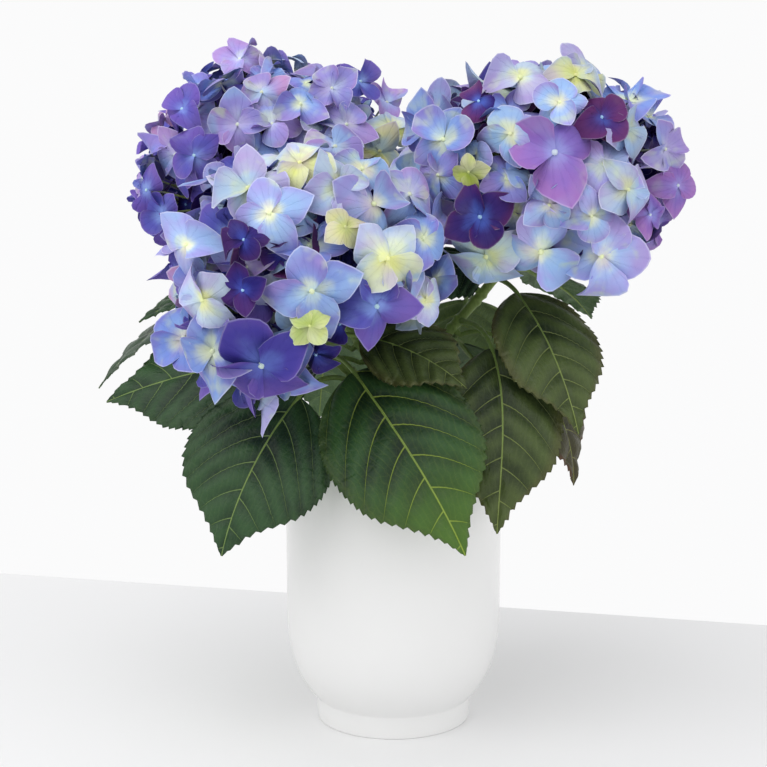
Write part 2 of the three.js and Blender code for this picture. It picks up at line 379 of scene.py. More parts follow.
# The rounded lower part of the pot, offset inwards, from a height up to the shoulder.
def potSide(inset, height, count=26):
    back, low, high = pot["sideHandles"]
    wide = pot["radius"] - inset
    corners = [(pot["footTopRadius"] - inset, height), (wide - back, height + low),
               (wide, height + high), (wide, pot["shoulder"])]
    return bezier(corners, np.linspace(0, 1, count)).tolist()


# A quarter turn round a lip, from one angle to another, in degrees.
def lipArc(centre, radius, start, end, count=6):
    turn = np.radians(np.linspace(start, end, count))
    return np.column_stack([centre[0] + radius * np.cos(turn), centre[1] + radius * np.sin(turn)]).tolist()


def glazeFinish():
    constants = {"Coat Weight": glaze["coat"], "Coat Roughness": glaze["coatRoughness"],
                 "Specular IOR Level": 0.5}
    material, board, shader = newFinish("whiteGlaze", constants)
    place = board.place()
    cloud = board.noise(place, *glaze["clouds"])
    fine = board.noise(place, *glaze["grain"])
    colour = board.blend(cloud, glaze["pale"], glaze["dull"])
    least, byCloud, byGrain = glaze["roughness"]
    coverWith(board, shader, colour, least + cloud * byCloud + fine * byGrain)
    addRelief(board, shader, cloud + fine * glaze["grainHeight"], glaze["relief"], glaze["strength"])
    return material


def makePot():
    inner = pot["radius"] - pot["wall"]
    lip = pot["lip"]
    top = pot["height"] - lip
    bevel = pot["footBevel"]
    profile = [(0, 0), (pot["footRadius"] * 0.6, 0), (pot["footRadius"] - 2 * bevel, 0)]
    profile += lipArc((pot["footRadius"] - bevel, bevel), bevel, -90, 0)
    profile += [(pot["footTopRadius"], pot["footHeight"] - pot["footDrop"])]
    profile += potSide(0, pot["footHeight"])
    profile += [(pot["radius"], height) for height in np.linspace(*pot["straight"], pot["straightRows"])]
    profile += lipArc((pot["radius"] - lip, top), lip, 0, 90)
    profile += lipArc((inner + lip, top), lip, 90, 180)
    profile += potSide(pot["wall"], pot["floor"])[::-1]
    profile += [(inner * 0.5, pot["floor"]), (0, pot["floor"])]
    points, faces = turnedShape(profile, pot["sides"])
    piece = newPiece("pot_glazed", points, faces, [glazeFinish()])
    keepPiece(piece, "ceramic", "pot")


def soilFinish():
    material, board, shader = newFinish("pottingMix", {"Specular IOR Level": 0.25})
    place = board.place()
    coarse = board.noise(place, *mix["clods"])
    fine = board.noise(place, *mix["grains"])
    dark = board.blend(board.ease(coarse, *mix["clodStep"]), mix["dark"], mix["brown"])
    colour = board.blend(board.ease(fine, *mix["fleckStep"]), dark, mix["fleck"])
    least, byGrain = mix["roughness"]
    coverWith(board, shader, colour, least + fine * byGrain)
    addRelief(board, shader, coarse + fine * mix["grainHeight"], mix["relief"], mix["strength"])
    return material


def crumbTree():
    inputs = {"Crumbs": "Collection", "Density": "Float", "Smallest": "Float", "Largest": "Float",
              "Turn": "Vector", "Seed": "Int", "Material": "Material"}
    board, given = newTree("looseCrumbs", inputs)
    seed = given.other("Seed")
    sockets = {"Mesh": given, "Density": given.other("Density"), "Seed": seed}
    points = board.node("GeometryNodeDistributePointsOnFaces", None, sockets)
    sockets = {"Collection": given.other("Crumbs"), "Separate Children": True, "Reset Children": True}
    shapes = board.node("GeometryNodeCollectionInfo", None, sockets)
    sockets = {2: given.other("Smallest"), 3: given.other("Largest"), "Seed": seed}
    size = board.node("FunctionNodeRandomValue", {"data_type": "FLOAT"}, sockets, 1)
    sockets = {0: (0.0, 0.0, 0.0), 1: given.other("Turn"), "Seed": seed}
    turn = board.node("FunctionNodeRandomValue", {"data_type": "FLOAT_VECTOR"}, sockets)
    sockets = {"Points": points, "Instance": shapes, "Pick Instance": True, "Rotation": turn, "Scale": size}
    crumbs = board.node("GeometryNodeInstanceOnPoints", None, sockets)
    return endTree(board, crumbs, given.other("Material"))


# A few lumpy stones of about radius 1, as a hidden collection that a tree picks from.
def crumbShapes(chance):
    shapes = bpy.data.collections.new("crumbShapes")
    for number in range(soil["stones"]):
        bpy.ops.mesh.primitive_ico_sphere_add(subdivisions=1, radius=1)
        stone = bpy.context.object
        stone.name = f"crumb_{number}"
        stretch = chance.uniform(*soil["stoneStretch"], 3)
        for vertex in stone.data.vertices:
            vertex.co *= chance.uniform(*soil["stoneKnobs"])
            vertex.co.x *= stretch[0]
            vertex.co.y *= stretch[1]
            vertex.co.z *= stretch[2]
        scene.collection.objects.unlink(stone)
        shapes.objects.link(stone)
    return shapes


def makeSoil():
    chance = np.random.default_rng(soil["seed"])
    finish = soilFinish()
    inset = pot["wall"] + soil["gap"]
    inner = pot["radius"] - inset
    low = potSide(inset, pot["floor"] + soil["gap"], soil["sideRows"])
    edge = soil["height"] - soil["crown"]
    reach = np.linspace(1, soil["middle"], soil["rings"])
    crown = [(inner * share, edge + soil["crown"] * (1 - share ** 2)) for share in reach]
    profile = [(0, low[0][1])] + low + [(inner, edge - soil["sideDrop"])] + crown + [(0, soil["height"])]
    points, faces = turnedShape(profile, soil["sides"])
    # The top swells and dips a little, but not where it meets the pot.
    away = np.hypot(points[:, 0], points[:, 1]) / inner
    waves = chance.uniform(soil["swellFrom"], soil["swellTo"], (soil["swells"], 3))
    lumps = sum(np.sin(points[:, 0] * a + points[:, 1] * b + c) for a, b, c in waves)
    top = (points[:, 2] > edge - mm) & (away < soil["swellWithin"])
    points[:, 2] += np.where(top, lumps / soil["swells"] * soil["swell"] - soil["sag"], 0)
    piece = newPiece("potting_mix", points, faces, [finish])
    keepPiece(piece, "soil", "soil")
    # Crumbs lie on the top only, as a piece of their own.
    rings = [face for face in faces if all(top[i] for i in face)]
    bed = newPiece("potting_mix_crumbs", points, rings)
    shapes = crumbShapes(chance)
    values = {"Crumbs": shapes, "Density": soil["crumbs"], "Smallest": soil["smallest"],
              "Largest": soil["largest"], "Turn": soil["stoneTurn"], "Seed": soil["seed"], "Material": finish}
    runTree(crumbTree(), bed, values)
    keepPiece(bed, "soil")
    dropShapes(shapes)


def dropShapes(shapes):
    for shape in list(shapes.objects):
        bpy.data.objects.remove(shape)
    bpy.data.collections.remove(shapes)


trunk = {
    "height": 27 * mm, "topRadius": 9.4 * mm, "flare": 6.5 * mm, "lean": (2.5 * mm, -1.5 * mm),
    "sunk": 1.5 * mm, "rows": 70, "sides": 48, "rib": 0.25 * mm, "ribPitch": 60,
    "roundedTop": (0.985, 0.95, 0.86, 0.66), "relief": 2.2 * mm, "grain": 260.0,
}
bark = {
    "dark": "4a3a28", "light": "8a7452", "moss": "6f6a4a", "stretch": (1.0, 1.0, 0.25),
    "grain": (900.0, 5.0), "patches": (160.0, 3.0), "grainStep": (0.35, 0.7), "mossShare": 0.6,
    "roughness": (0.75, 0.2), "relief": 0.0008, "strength": 0.8,
}
shoot = {
    "footRadius": 3.8 * mm, "tipRadius": 2.9 * mm, "footCircle": 5.2 * mm, "gap": 0.5 * mm,
    "node": 0.9 * mm, "nodeLength": 0.012, "sunk": 6 * mm, "footSwell": 1.15,
    "sides": 16, "relief": 0.35 * mm, "grain": 420.0,
}
greenSkin = {
    "dark": "4c6a2e", "light": "7d9549", "young": "93a657", "fleck": "6a4a3c", "stretch": (1.0, 1.0, 0.2),
    "streaks": (800.0, 3.0), "flecks": (1400.0, 1.0), "fleckStep": (0.66, 0.74), "fleckDepth": 0.4,
    "youngFrom": (0.3, 1.0), "youngShare": 0.5, "fleckShare": 0.7,
    "roughness": (0.5, 0.15), "relief": 0.0005, "strength": 0.5,
}
# Where each head stands and which way its underside faces, in millimetres.
heads = {
    "front": {"centre": (-55, -66, 300), "under": (0.05, 0.65, -0.76), "depth": 46, "foot": 238},
    "left": {"centre": (-76, 70, 350), "under": (0.3, -0.1, -0.95), "depth": 44, "foot": 122},
    "right": {"centre": (92, 2, 356), "under": (-0.25, 0.4, -0.88), "depth": 46, "foot": 0},
}


def compass(turn):
    return np.array([math.cos(math.radians(turn)), math.sin(math.radians(turn)), 0])


# The centre line of a shoot, evenly spaced: up out of the main stem, then square into its head.
def shootLine(side, count=241):
    head = heads[side]
    under = unit(head["under"])
    top = (np.array(head["centre"]) + under * head["depth"]) * mm + under * shoot["gap"]
    foot = compass(head["foot"]) * shoot["footCircle"]
    foot[2] = soil["height"] + trunk["height"] + 2 * shoot["gap"]
    reach = np.linalg.norm(top - foot) / 3
    corners = [foot, foot + [0, 0, reach], top + under * reach, top]
    fine = bezier(corners, np.linspace(0, 1, 1601))
    lengths = np.concatenate([[0], np.cumsum(np.linalg.norm(np.diff(fine, axis=0), axis=1))])
    even = np.linspace(0, lengths[-1], count)
    return np.column_stack([np.interp(even, lengths, fine[:, axis]) for axis in range(3)])


def shootRadius(share):
    return shoot["footRadius"] + (shoot["tipRadius"] - shoot["footRadius"]) * share


def barkFinish():
    material, board, shader = newFinish("stemBark", {"Specular IOR Level": 0.3})
    place = board.place()
    stretched = board.node("ShaderNodeMapping", None, {"Vector": place, "Scale": bark["stretch"]})
    grain = board.noise(stretched, *bark["grain"])
    patch = board.noise(place, *bark["patches"])
    brown = board.blend(board.ease(grain, *bark["grainStep"]), bark["dark"], bark["light"])
    colour = board.blend(patch * bark["mossShare"], brown, bark["moss"])
    least, byGrain = bark["roughness"]
    coverWith(board, shader, colour, least + grain * byGrain)
    addRelief(board, shader, grain, bark["relief"], bark["strength"])
    return material


def greenStemFinish():
    skin = greenSkin
    material, board, shader = newFinish("greenStem", {"Specular IOR Level": 0.4})
    place = board.place()
    stretched = board.node("ShaderNodeMapping", None, {"Vector": place, "Scale": skin["stretch"]})
    streak = board.noise(stretched, *skin["streaks"])
    speck = board.ease(board.noise(place, *skin["flecks"]), *skin["fleckStep"])
    along = board.attribute("along", "Fac")
    green = board.blend(streak, skin["dark"], skin["light"])
    young = board.blend(board.ease(along, *skin["youngFrom"]) * skin["youngShare"], green, skin["young"])
    colour = board.blend(speck * skin["fleckShare"], young, skin["fleck"])
    least, byStreak = skin["roughness"]
    coverWith(board, shader, colour, least + streak * byStreak)
    addRelief(board, shader, streak - speck * skin["fleckDepth"], skin["relief"], skin["strength"])
    return material


def makeTrunk():
    lean = np.array([*trunk["lean"], 0])
    base = np.array([0, 0, soil["height"] + shoot["gap"]])
    rise = np.array([0, 0, trunk["height"]])
    share = np.linspace(0, 1, trunk["rows"])
    line = bezier([base + lean, base + lean + rise / 3, base + rise * 2 / 3, base + rise], share)
    line[0, 2] = soil["height"] - trunk["sunk"]
    ribs = trunk["rib"] * np.sin(share * trunk["ribPitch"])
    radii = trunk["topRadius"] + trunk["flare"] * (1 - share) ** 3 + ribs
    radii[-4:] *= trunk["roundedTop"]
    lines = [(line, radii)]
    piece = growLimbs("woody_stem", lines, barkFinish(), trunk["sides"], trunk["relief"], trunk["grain"])
    keepPiece(piece, "bark", "main_stem")


# A shoot with a swollen ring at each leaf, and the stalks of its leaves, in one piece.
def makeShoot(side, leafLines, finish):
    line = shootLine(side)
    share = np.linspace(0, 1, len(line))
    radii = shootRadius(share)
    for leaf in leaves[side]:
        radii = radii + shoot["node"] * np.exp(-((share - leaf["at"]) / shoot["nodeLength"]) ** 2)
    foot = line[:1] - [0, 0, shoot["sunk"]]
    lines = [(np.vstack([foot, line]), np.append(radii[0] * shoot["footSwell"], radii))] + leafLines
    piece = growLimbs(f"green_shoot_{side}", lines, finish, shoot["sides"], shoot["relief"], shoot["grain"])
    keepPiece(piece, "green_stem", f"shoot_{side}")


# turn is the compass direction of a leaf; rise, pitch and fall are the slopes of its stalk,
# of the blade's foot and of its tip; face is where the upper side looks, sweep its bend.
leafDefaults = {"stalk": 26, "length": 110, "width": 74, "rise": 25, "pitch": 0, "fall": -50,
                "sweep": 0, "style": "cool"}
leaves = {
    "front": [
        {"name": "leaf_front_left", "at": 0.5, "turn": 228, "stalk": 45, "length": 112, "width": 98,
         "rise": 26, "pitch": -38, "fall": -76, "face": 262, "sweep": -16},
        {"name": "leaf_front_middle", "at": 0.73, "turn": 298, "stalk": 28, "length": 138, "width": 98,
         "rise": 4, "pitch": -32, "fall": -64, "face": 262, "sweep": 38, "style": "fresh"},
        {"name": "leaf_left", "at": 0.7, "turn": 170, "stalk": 24, "length": 124, "width": 92,
         "rise": 5, "pitch": -6, "fall": -24, "face": 240},
        {"name": "leaf_front_small", "at": 0.9, "turn": 348, "stalk": 24, "length": 78, "width": 58,
         "rise": 12, "pitch": -6, "fall": -36, "face": 285, "sweep": -20, "style": "olive"},
    ],
    "left": [
        {"name": "leaf_left_narrow", "at": 0.77, "turn": 188, "length": 138, "width": 60,
         "rise": 12, "pitch": -4, "fall": -54, "face": 190, "style": "grey"},
        {"name": "leaf_left_upper", "at": 0.93, "turn": 196, "length": 88, "width": 54,
         "rise": -8, "pitch": -14, "fall": -30, "face": 200},
        {"name": "leaf_back_left", "at": 0.62, "turn": 100, "length": 118, "width": 84,
         "pitch": -30, "fall": -70},
        {"name": "leaf_left_rear", "at": 0.42, "turn": 145, "length": 120, "width": 86,
         "rise": 30, "pitch": -30, "fall": -72},
        {"name": "leaf_left_lower", "at": 0.32, "turn": 196, "stalk": 30, "length": 96, "width": 72,
         "rise": 30, "pitch": -30, "fall": -78},
        {"name": "leaf_back_upper", "at": 0.92, "turn": 76, "length": 90, "width": 60,
         "rise": 15, "pitch": -15, "fall": -55, "style": "fresh"},
        {"name": "leaf_middle", "at": 0.64, "turn": 334, "stalk": 16, "length": 54, "width": 42,
         "rise": 30, "pitch": 5, "fall": -35},
    ],
    "right": [
        {"name": "leaf_front_right", "at": 0.55, "turn": 302, "stalk": 40, "length": 124, "width": 76,
         "rise": 5, "pitch": -40, "fall": -84, "face": 274, "sweep": -58, "style": "olive"},
        {"name": "leaf_right_upper", "at": 0.8, "turn": 298, "stalk": 22, "length": 110, "width": 68,
         "rise": -5, "pitch": -28, "fall": -66, "face": 285, "style": "olive"},
        {"name": "leaf_right_lower", "at": 0.5, "turn": 2, "length": 116, "width": 76,
         "pitch": -35, "fall": -90, "face": 320, "style": "bronze"},
        {"name": "leaf_back_right", "at": 0.42, "turn": 58, "length": 120, "width": 86,
         "pitch": -32, "fall": -74},
        {"name": "leaf_right_rear", "at": 0.84, "turn": 48, "length": 82, "width": 54,
         "rise": 4, "pitch": -14, "fall": -44},
        {"name": "leaf_inner_upper", "at": 0.84, "turn": 214, "stalk": 14, "length": 58, "width": 46,
         "rise": 8, "pitch": 2, "fall": -38, "face": 275},
        {"name": "leaf_inner", "at": 0.7, "turn": 196, "stalk": 18, "length": 72, "width": 54,
         "rise": 25, "pitch": 8, "fall": -34, "face": 270},
        {"name": "leaf_back_middle", "at": 0.66, "turn": 98, "length": 116, "width": 82,
         "rise": 20, "pitch": -32, "fall": -74, "style": "fresh"},
    ],
}
# Sizes in millimetres, places as shares of a blade's length or half width.
leafShape = {
    "broadest": 0.42, "footPower": 0.62, "drawnFrom": 0.62, "drawnTo": 0.98, "drawnBy": 0.55,
    "from": 0.004, "to": 0.9995, "leastHalf": 0.5, "crowding": 0.4,
    "fold": 0.1, "droop": 0.16, "stalkRadius": 1.7, "clearance": 0.5,
    "rowsPerTooth": 4, "columns": 28, "toothPitch": 5.0, "tooth": 2.6, "toothLeast": 0.45, "lean": 2.2,
    "toothShift": 0.4, "toothFade": (0.12, 0.08), "toothReach": 10,
    "veins": 6.0, "veinSlope": 0.45, "veinBend": 2.1, "veinShift": 0.3,
    "quilt": 2.2, "quiltPower": 0.8, "quiltFade": (0.03, 0.12), "quiltAtEdge": 0.2, "quiltSink": 0.4,
    "wave": 1.8, "wavePitch": (10, 15), "waveStart": (0, 6), "waveReach": 2.5,
    "ruck": 0.4, "ruckPitch": (23, 9, 7, 11), "groove": 0.5, "grooveWidth": 0.012,
    "skin": 0.45, "rib": 0.5, "edgeFade": 0.05, "edgeThick": 0.25, "frameSteps": 60, "seed": 31,
}
# The stalk and midrib: radii in millimetres from inside the shoot to near the blade's tip.
stalkShape = {
    "rootAt": (0.2, 0.5, 0.8), "rootRadii": (2.6, 2.3, 1.95), "taper": 0.3,
    "midrib": 1.4, "midribPower": 1.2, "midribTip": 0.22, "endsAt": 0.95, "rows": 60,
    "sink": 0.75, "sinkWithin": 0.08, "below": 0.55,
}
# The bake map puts the upper skin in the left half of a square, the lower one in the right half.
bakeMap = {"half": (0.48, 0.96), "widest": 0.9, "upper": (0.01, 0.02), "lower": (0.51, 0.02)}
leafLook = {
    "sideVein": (0.008, 0.034), "sideTaper": 0.016, "sideFade": (0.7, 1.0), "sideFadeBy": 0.8,
    "sideShare": 0.8, "midrib": (0.004, 0.0075), "midribTaper": 0.003,
    "net": 24.0, "fineNet": 70.0, "netLine": (0.0, 0.05), "netCell": (0.0, 0.3), "netShare": 0.03,
    "clouds": (32.0, 4.0), "speckles": (420.0, 3.0), "speckleShare": 0.15,
    "rungPitch": (34, 5), "rungWander": (9.0, 2.0), "rungWanderBy": 2.2, "rung": (0.03, 0.2),
    "rungShare": 0.03, "lit": (0.42, 0.9), "litByVeins": 0.45, "litByMargin": 0.15,
    "tipFrom": (0.45, 1.0), "edgeFrom": (0.72, 1.0), "veinShare": 0.75, "underVeins": 0.5, "underNet": 0.2,
    "netHeight": 0.25, "fineNetHeight": 0.12, "veinDepth": 0.8, "rungDepth": 0.15,
    "roughness": (0.34, 0.12, 0.25), "relief": 0.0008, "strength": 0.6,
}
leafStyles = {
    "cool": {"dark": "0f2018", "light": "32502f", "vein": "86a05e", "tip": "2c4a29", "tipShare": 0.35,
             "edge": "2a3a1e", "edgeShare": 0.25, "under": "5a7350"},
    "fresh": {"dark": "0f2014", "light": "30502a", "vein": "9cb247", "tip": "527428", "tipShare": 0.8,
              "edge": "3f4622", "edgeShare": 0.35, "under": "6c8451"},
    "olive": {"dark": "1b2815", "light": "4a592f", "vein": "8f9d5a", "tip": "4e5a2c", "tipShare": 0.45,
              "edge": "524429", "edgeShare": 0.4, "under": "6c7452"},
    "bronze": {"dark": "1f2412", "light": "40432a", "vein": "8c8c52", "tip": "4a3d24", "tipShare": 0.5,
               "edge": "5a3424", "edgeShare": 0.7, "under": "6d644a"},
    "grey": {"dark": "1b2a21", "light": "394d3a", "vein": "9cab80", "tip": "3f5039", "tipShare": 0.3,
             "edge": "313d2c", "edgeShare": 0.3, "under": "788a6f"},
}


# Points on a line at a number of its steps, which needn't be whole.
def pointsAlong(line, steps):
    return np.stack([np.interp(steps, np.arange(len(line)), line[:, axis]) for axis in range(3)], -1)


# Share of the full half width along a blade: a rounded foot and a drawn-out tip.
def bladeOutline(share):
    foot = leafShape["footPower"]
    tip = foot * (1 / leafShape["broadest"] - 1)

    def outline(s):
        return s ** foot * (1 - s) ** tip

    near = np.clip((share - leafShape["drawnFrom"]) / (leafShape["drawnTo"] - leafShape["drawnFrom"]), 0, 1)
    drawn = 1 - leafShape["drawnBy"] * near * near * (3 - 2 * near)
    return drawn * outline(share) / outline(leafShape["broadest"])


# Returns a function of t, 0 at the shoot and 1 at the tip: the midrib's point, and the
# directions along it, across the blade and out of its upper side. Lengths are millimetres.
def leafFrame(leaf, start):
    total = leaf["stalk"] + leaf["length"]
    stalkShare = leaf["stalk"] / total
    face = compass(leaf.get("face", leaf["turn"])) + [0, 0, 1]

    def headingAt(t):
        stalk = leaf["rise"] + (leaf["pitch"] - leaf["rise"]) * t / stalkShare
        blade = leaf["pitch"] + (leaf["fall"] - leaf["pitch"]) * (t - stalkShare) / (1 - stalkShare)
        slope = np.radians(np.where(t < stalkShare, stalk, blade))
        turn = np.radians(leaf["turn"] + leaf["sweep"] * t)
        flat = np.cos(slope)
        return np.column_stack([np.cos(turn) * flat, np.sin(turn) * flat, np.sin(slope)])

    steps = leafShape["frameSteps"]
    middles = (np.arange(steps) + 0.5) / steps
    rib = np.vstack([start, start + np.cumsum(headingAt(middles) * total / steps, axis=0)])

    def frameAt(t):
        t = np.asarray(t, float)
        middle = pointsAlong(rib, t * steps)
        heading = headingAt(t)
        normal = unit(face - (heading @ face)[:, None] * heading)
        return middle, heading, np.cross(heading, normal), normal

    return frameAt, stalkShare


# The upper skin of a blade as a grid of points, with what its finish reads.
def bladeSkin(leaf, frameAt, stalkShare, chance):
    shape = leafShape
    teeth = round(leaf["length"] / shape["toothPitch"])
    rows = teeth * shape["rowsPerTooth"]
    along = np.linspace(shape["from"], shape["to"], rows + 1)
    spread = np.linspace(-1, 1, shape["columns"] + 1)
    spread = (1 - shape["crowding"]) * spread + shape["crowding"] * np.sin(spread * math.pi / 2)
    middle, heading, across, normal = frameAt(stalkShare + along * (1 - stalkShare))
    wide = np.maximum(leaf["width"] / 2 * bladeOutline(along), shape["leastHalf"])
    # b runs from the blade's foot to its tip, s from edge to edge, x out from the midrib.
    b, s = np.meshgrid(along, spread, indexing="ij")
    away = np.abs(s)
    x = away * wide[:, None] / leaf["length"]
    # Teeth point to the tip. They fade out at both ends of the blade.
    tooth = b * teeth + np.where(s > 0, shape["toothShift"], 0)
    footFade, tipFade = shape["toothFade"]
    size = np.minimum(1, b / footFade) * np.minimum(1, (1 - b) / tipFade)
    uneven = chance.uniform(shape["toothLeast"], 1, (teeth + 2, 2))
    size = size * uneven[np.floor(tooth).astype(int), (s > 0).astype(int)]
    bite = (tooth % 1 - 0.5) * size * away ** shape["toothReach"]
    # Between the side veins the blade is quilted, and its edge waves.
    phase = (b - shape["veinSlope"] * x - shape["veinBend"] * x ** 2) * shape["veins"]
    phase = phase + np.where(s > 0, shape["veinShift"], 0)
    pillow = np.abs(np.sin(phase * math.pi)) ** shape["quiltPower"]
    ribFade, edgeFade = shape["quiltFade"]
    inside = np.minimum(1, x / ribFade) * np.minimum(1, (1 - away) / edgeFade + shape["quiltAtEdge"])
    start = chance.uniform(*shape["waveStart"])
    wave = np.sin(b * chance.uniform(*shape["wavePitch"]) + np.where(s > 0, start, 0))
    wave = wave * away ** shape["waveReach"]
    long, wideways, cross, back = shape["ruckPitch"]
    ruck = np.sin(b * long + s * wideways + start) * np.cos(s * cross - b * back)
    lift = wide[:, None] * (shape["fold"] * away - shape["droop"] * s ** 2)
    lift = lift + shape["quilt"] * (pillow - shape["quiltSink"]) * inside + shape["wave"] * wave * size
    lift = lift + shape["ruck"] * ruck * away
    lift = lift - shape["groove"] * np.exp(-(x / shape["grooveWidth"]) ** 2)
    side = s * wide[:, None] + np.sign(s) * bite * shape["tooth"]
    ahead = bite * shape["lean"]
    grid = middle[:, None] + across[:, None] * side[..., None] + heading[:, None] * ahead[..., None]
    top = grid + normal[:, None] * lift[..., None]
    # The lower skin is thicker under the veins, and both skins meet at the edge.
    thick = shape["skin"] + shape["rib"] * (1 - pillow) * inside
    thick = thick * np.minimum(1, (1 - away) / shape["edgeFade"] + shape["edgeThick"])
    under = top - normal[:, None] * thick[..., None]
    return top, under, np.stack([s * wide[:, None] / leaf["length"] + 0.5, b], -1), away, rows


def leafFinish(name, style):
    look = leafLook
    material, board, shader = newFinish(f"leaf_{name}", {"Specular IOR Level": 0.26})
    blade = board.node("ShaderNodeUVMap", {"uv_map": "blade"})
    across = board.node("ShaderNodeSeparateXYZ", None, {0: blade})
    right = across.maths("GREATER_THAN", across, 0.5)
    x = abs(across - 0.5)
    along = across.other("Y")
    margin = board.attribute("margin", "Fac")
    under = board.attribute("under", "Fac")
    place = board.place()
    # Side veins are where the phase is a whole number, as in the mesh.
    phase = (along - x * leafShape["veinSlope"] - x * x * leafShape["veinBend"]) * leafShape["veins"]
    phase = phase + right * leafShape["veinShift"]
    between = abs(phase.maths("FRACT", phase + 0.5) - 0.5)
    sideVein = 1 - board.ease(between + margin * look["sideTaper"], *look["sideVein"])
    sideVein = sideVein * (1 - board.ease(margin, *look["sideFade"]) * look["sideFadeBy"])
    midrib = 1 - board.ease(x + along * look["midribTaper"], *look["midrib"])
    veins = midrib.maths("MAXIMUM", midrib, sideVein * look["sideShare"])
    # A net of small veins, and faint rungs from one side vein to the next.
    toEdge = {"feature": "DISTANCE_TO_EDGE"}
    net, fineNet = (
        board.node("ShaderNodeTexVoronoi", toEdge, {"Vector": blade, "Scale": look[scale]}, "Distance")
        for scale in ("net", "fineNet"))
    netLines = 1 - board.ease(net, *look["netLine"])
    wander = (board.noise(blade, *look["rungWander"]) - 0.5) * look["rungWanderBy"]
    ladder = x * look["rungPitch"][0] + along * look["rungPitch"][1] + wander
    rungs = 1 - board.ease(abs(ladder.maths("FRACT", ladder) - 0.5), *look["rung"])
    cloud = board.noise(place, *look["clouds"])
    speckle = board.noise(place, *look["speckles"])
    lit = cloud + between * look["litByVeins"] + margin * look["litByMargin"]
    lit = board.ease(lit, *look["lit"])
    green = board.blend(lit, style["dark"], style["light"])
    green = board.blend(board.ease(along, *look["tipFrom"]) * style["tipShare"], green, style["tip"])
    green = board.blend(board.ease(margin, *look["edgeFrom"]) * style["edgeShare"], green, style["edge"])
    green = board.blend(speckle * look["speckleShare"], green, style["light"])
    green = board.blend(netLines * look["netShare"] + rungs * look["rungShare"], green, style["vein"])
    top = board.blend(veins * look["veinShare"], green, style["vein"])
    low = board.blend(veins * look["underVeins"] + netLines * look["underNet"], style["under"], style["vein"])
    least, bySpeckle, byUnder = look["roughness"]
    coverWith(board, shader, board.blend(under, top, low), least + speckle * bySpeckle + under * byUnder)
    height = board.ease(net, *look["netCell"]) * look["netHeight"]
    height = height + board.ease(fineNet, *look["netCell"]) * look["fineNetHeight"]
    height = height - veins * look["veinDepth"] - rungs * look["rungDepth"]
    addRelief(board, shader, height, look["relief"], look["strength"])
    return material


# The outline of a grid of points, once round, as numbers of its points.
def gridRim(rows, columns):
    wide = columns + 1
    rim = [row * wide for row in range(rows + 1)]
    rim += [rows * wide + column for column in range(1, wide)]
    rim += [row * wide + columns for row in range(rows - 1, -1, -1)]
    return rim + list(range(columns - 1, 0, -1))


# The stalk runs from inside the shoot, then under the blade as a raised midrib.
def stalkLine(spot, start, frameAt, stalkShare):
    shape = stalkShape
    t = np.linspace(0, stalkShare + (1 - stalkShare) * shape["endsAt"], shape["rows"])
    middle, _, _, normal = frameAt(t)
    blade = np.clip((t - stalkShare) / (1 - stalkShare), 0, 1)
    stalk = leafShape["stalkRadius"] - shape["taper"] * t / stalkShare
    midrib = shape["midrib"] * (1 - blade) ** shape["midribPower"] + shape["midribTip"]
    thick = np.where(t < stalkShare, stalk, midrib)
    sink = thick * shape["sink"] * np.minimum(1, blade / shape["sinkWithin"])
    sink = sink + np.where(blade > 0, shape["below"], 0)
    line = middle - normal * sink[:, None]
    root = spot + (start - spot) * np.array(shape["rootAt"])[:, None]
    return np.vstack([root, line]) * mm, np.concatenate([shape["rootRadii"], thick]) * mm


# One blade with two skins and closed edges, and the line of its stalk and midrib.
def makeLeaf(row, side, finishes, chance):
    leaf = {**leafDefaults, **row}
    line = shootLine(side) / mm
    at = leaf["at"] * (len(line) - 1)
    spot = pointsAlong(line, at)
    along = unit(line[int(at) + 1] - line[int(at) - 1])
    outwards = compass(leaf["turn"])
    outwards = unit(outwards - along * (outwards @ along))
    clearance = shootRadius(leaf["at"]) / mm + 2 * leafShape["stalkRadius"] + leafShape["clearance"]
    start = spot + outwards * clearance
    frameAt, stalkShare = leafFrame(leaf, start)
    top, under, places, away, rows = bladeSkin(leaf, frameAt, stalkShare, chance)
    columns = leafShape["columns"]
    count = (rows + 1) * (columns + 1)
    points = np.vstack([top.reshape(-1, 3), under.reshape(-1, 3)]) * mm
    faces = gridFaces(rows, columns) + gridFaces(rows, columns, count, True)
    rim = gridRim(rows, columns)
    faces += [[a, a + count, b + count, b] for a, b in zip(rim, rim[1:] + rim[:1])]
    piece = newPiece("blade_" + leaf["name"], points, faces, [finishes[leaf["style"]]])
    mesh = piece.data
    flat = places.reshape(-1, 2)
    addMap(mesh, "blade", np.vstack([flat, flat]))
    square = np.column_stack([(flat[:, 0] - 0.5) / bakeMap["widest"] + 0.5, flat[:, 1]]) * bakeMap["half"]
    addMap(mesh, "OFBake", np.vstack([square + bakeMap["upper"], square + bakeMap["lower"]]))
    addValues(mesh, "under", "FLOAT", np.repeat([0.0, 1.0], count))
    addValues(mesh, "margin", "FLOAT", np.tile(away.ravel(), 2))
    keepPiece(piece, "leaf", leaf["name"])
    return stalkLine(spot, start, frameAt, stalkShare)


def makeLeaves():
    finishes = {name: leafFinish(name, style) for name, style in leafStyles.items()}
    stem = greenStemFinish()
    chance = np.random.default_rng(leafShape["seed"])
    for side, rows in leaves.items():
        lines = [makeLeaf(row, side, finishes, chance) for row in rows]
        makeShoot(side, lines, stem)


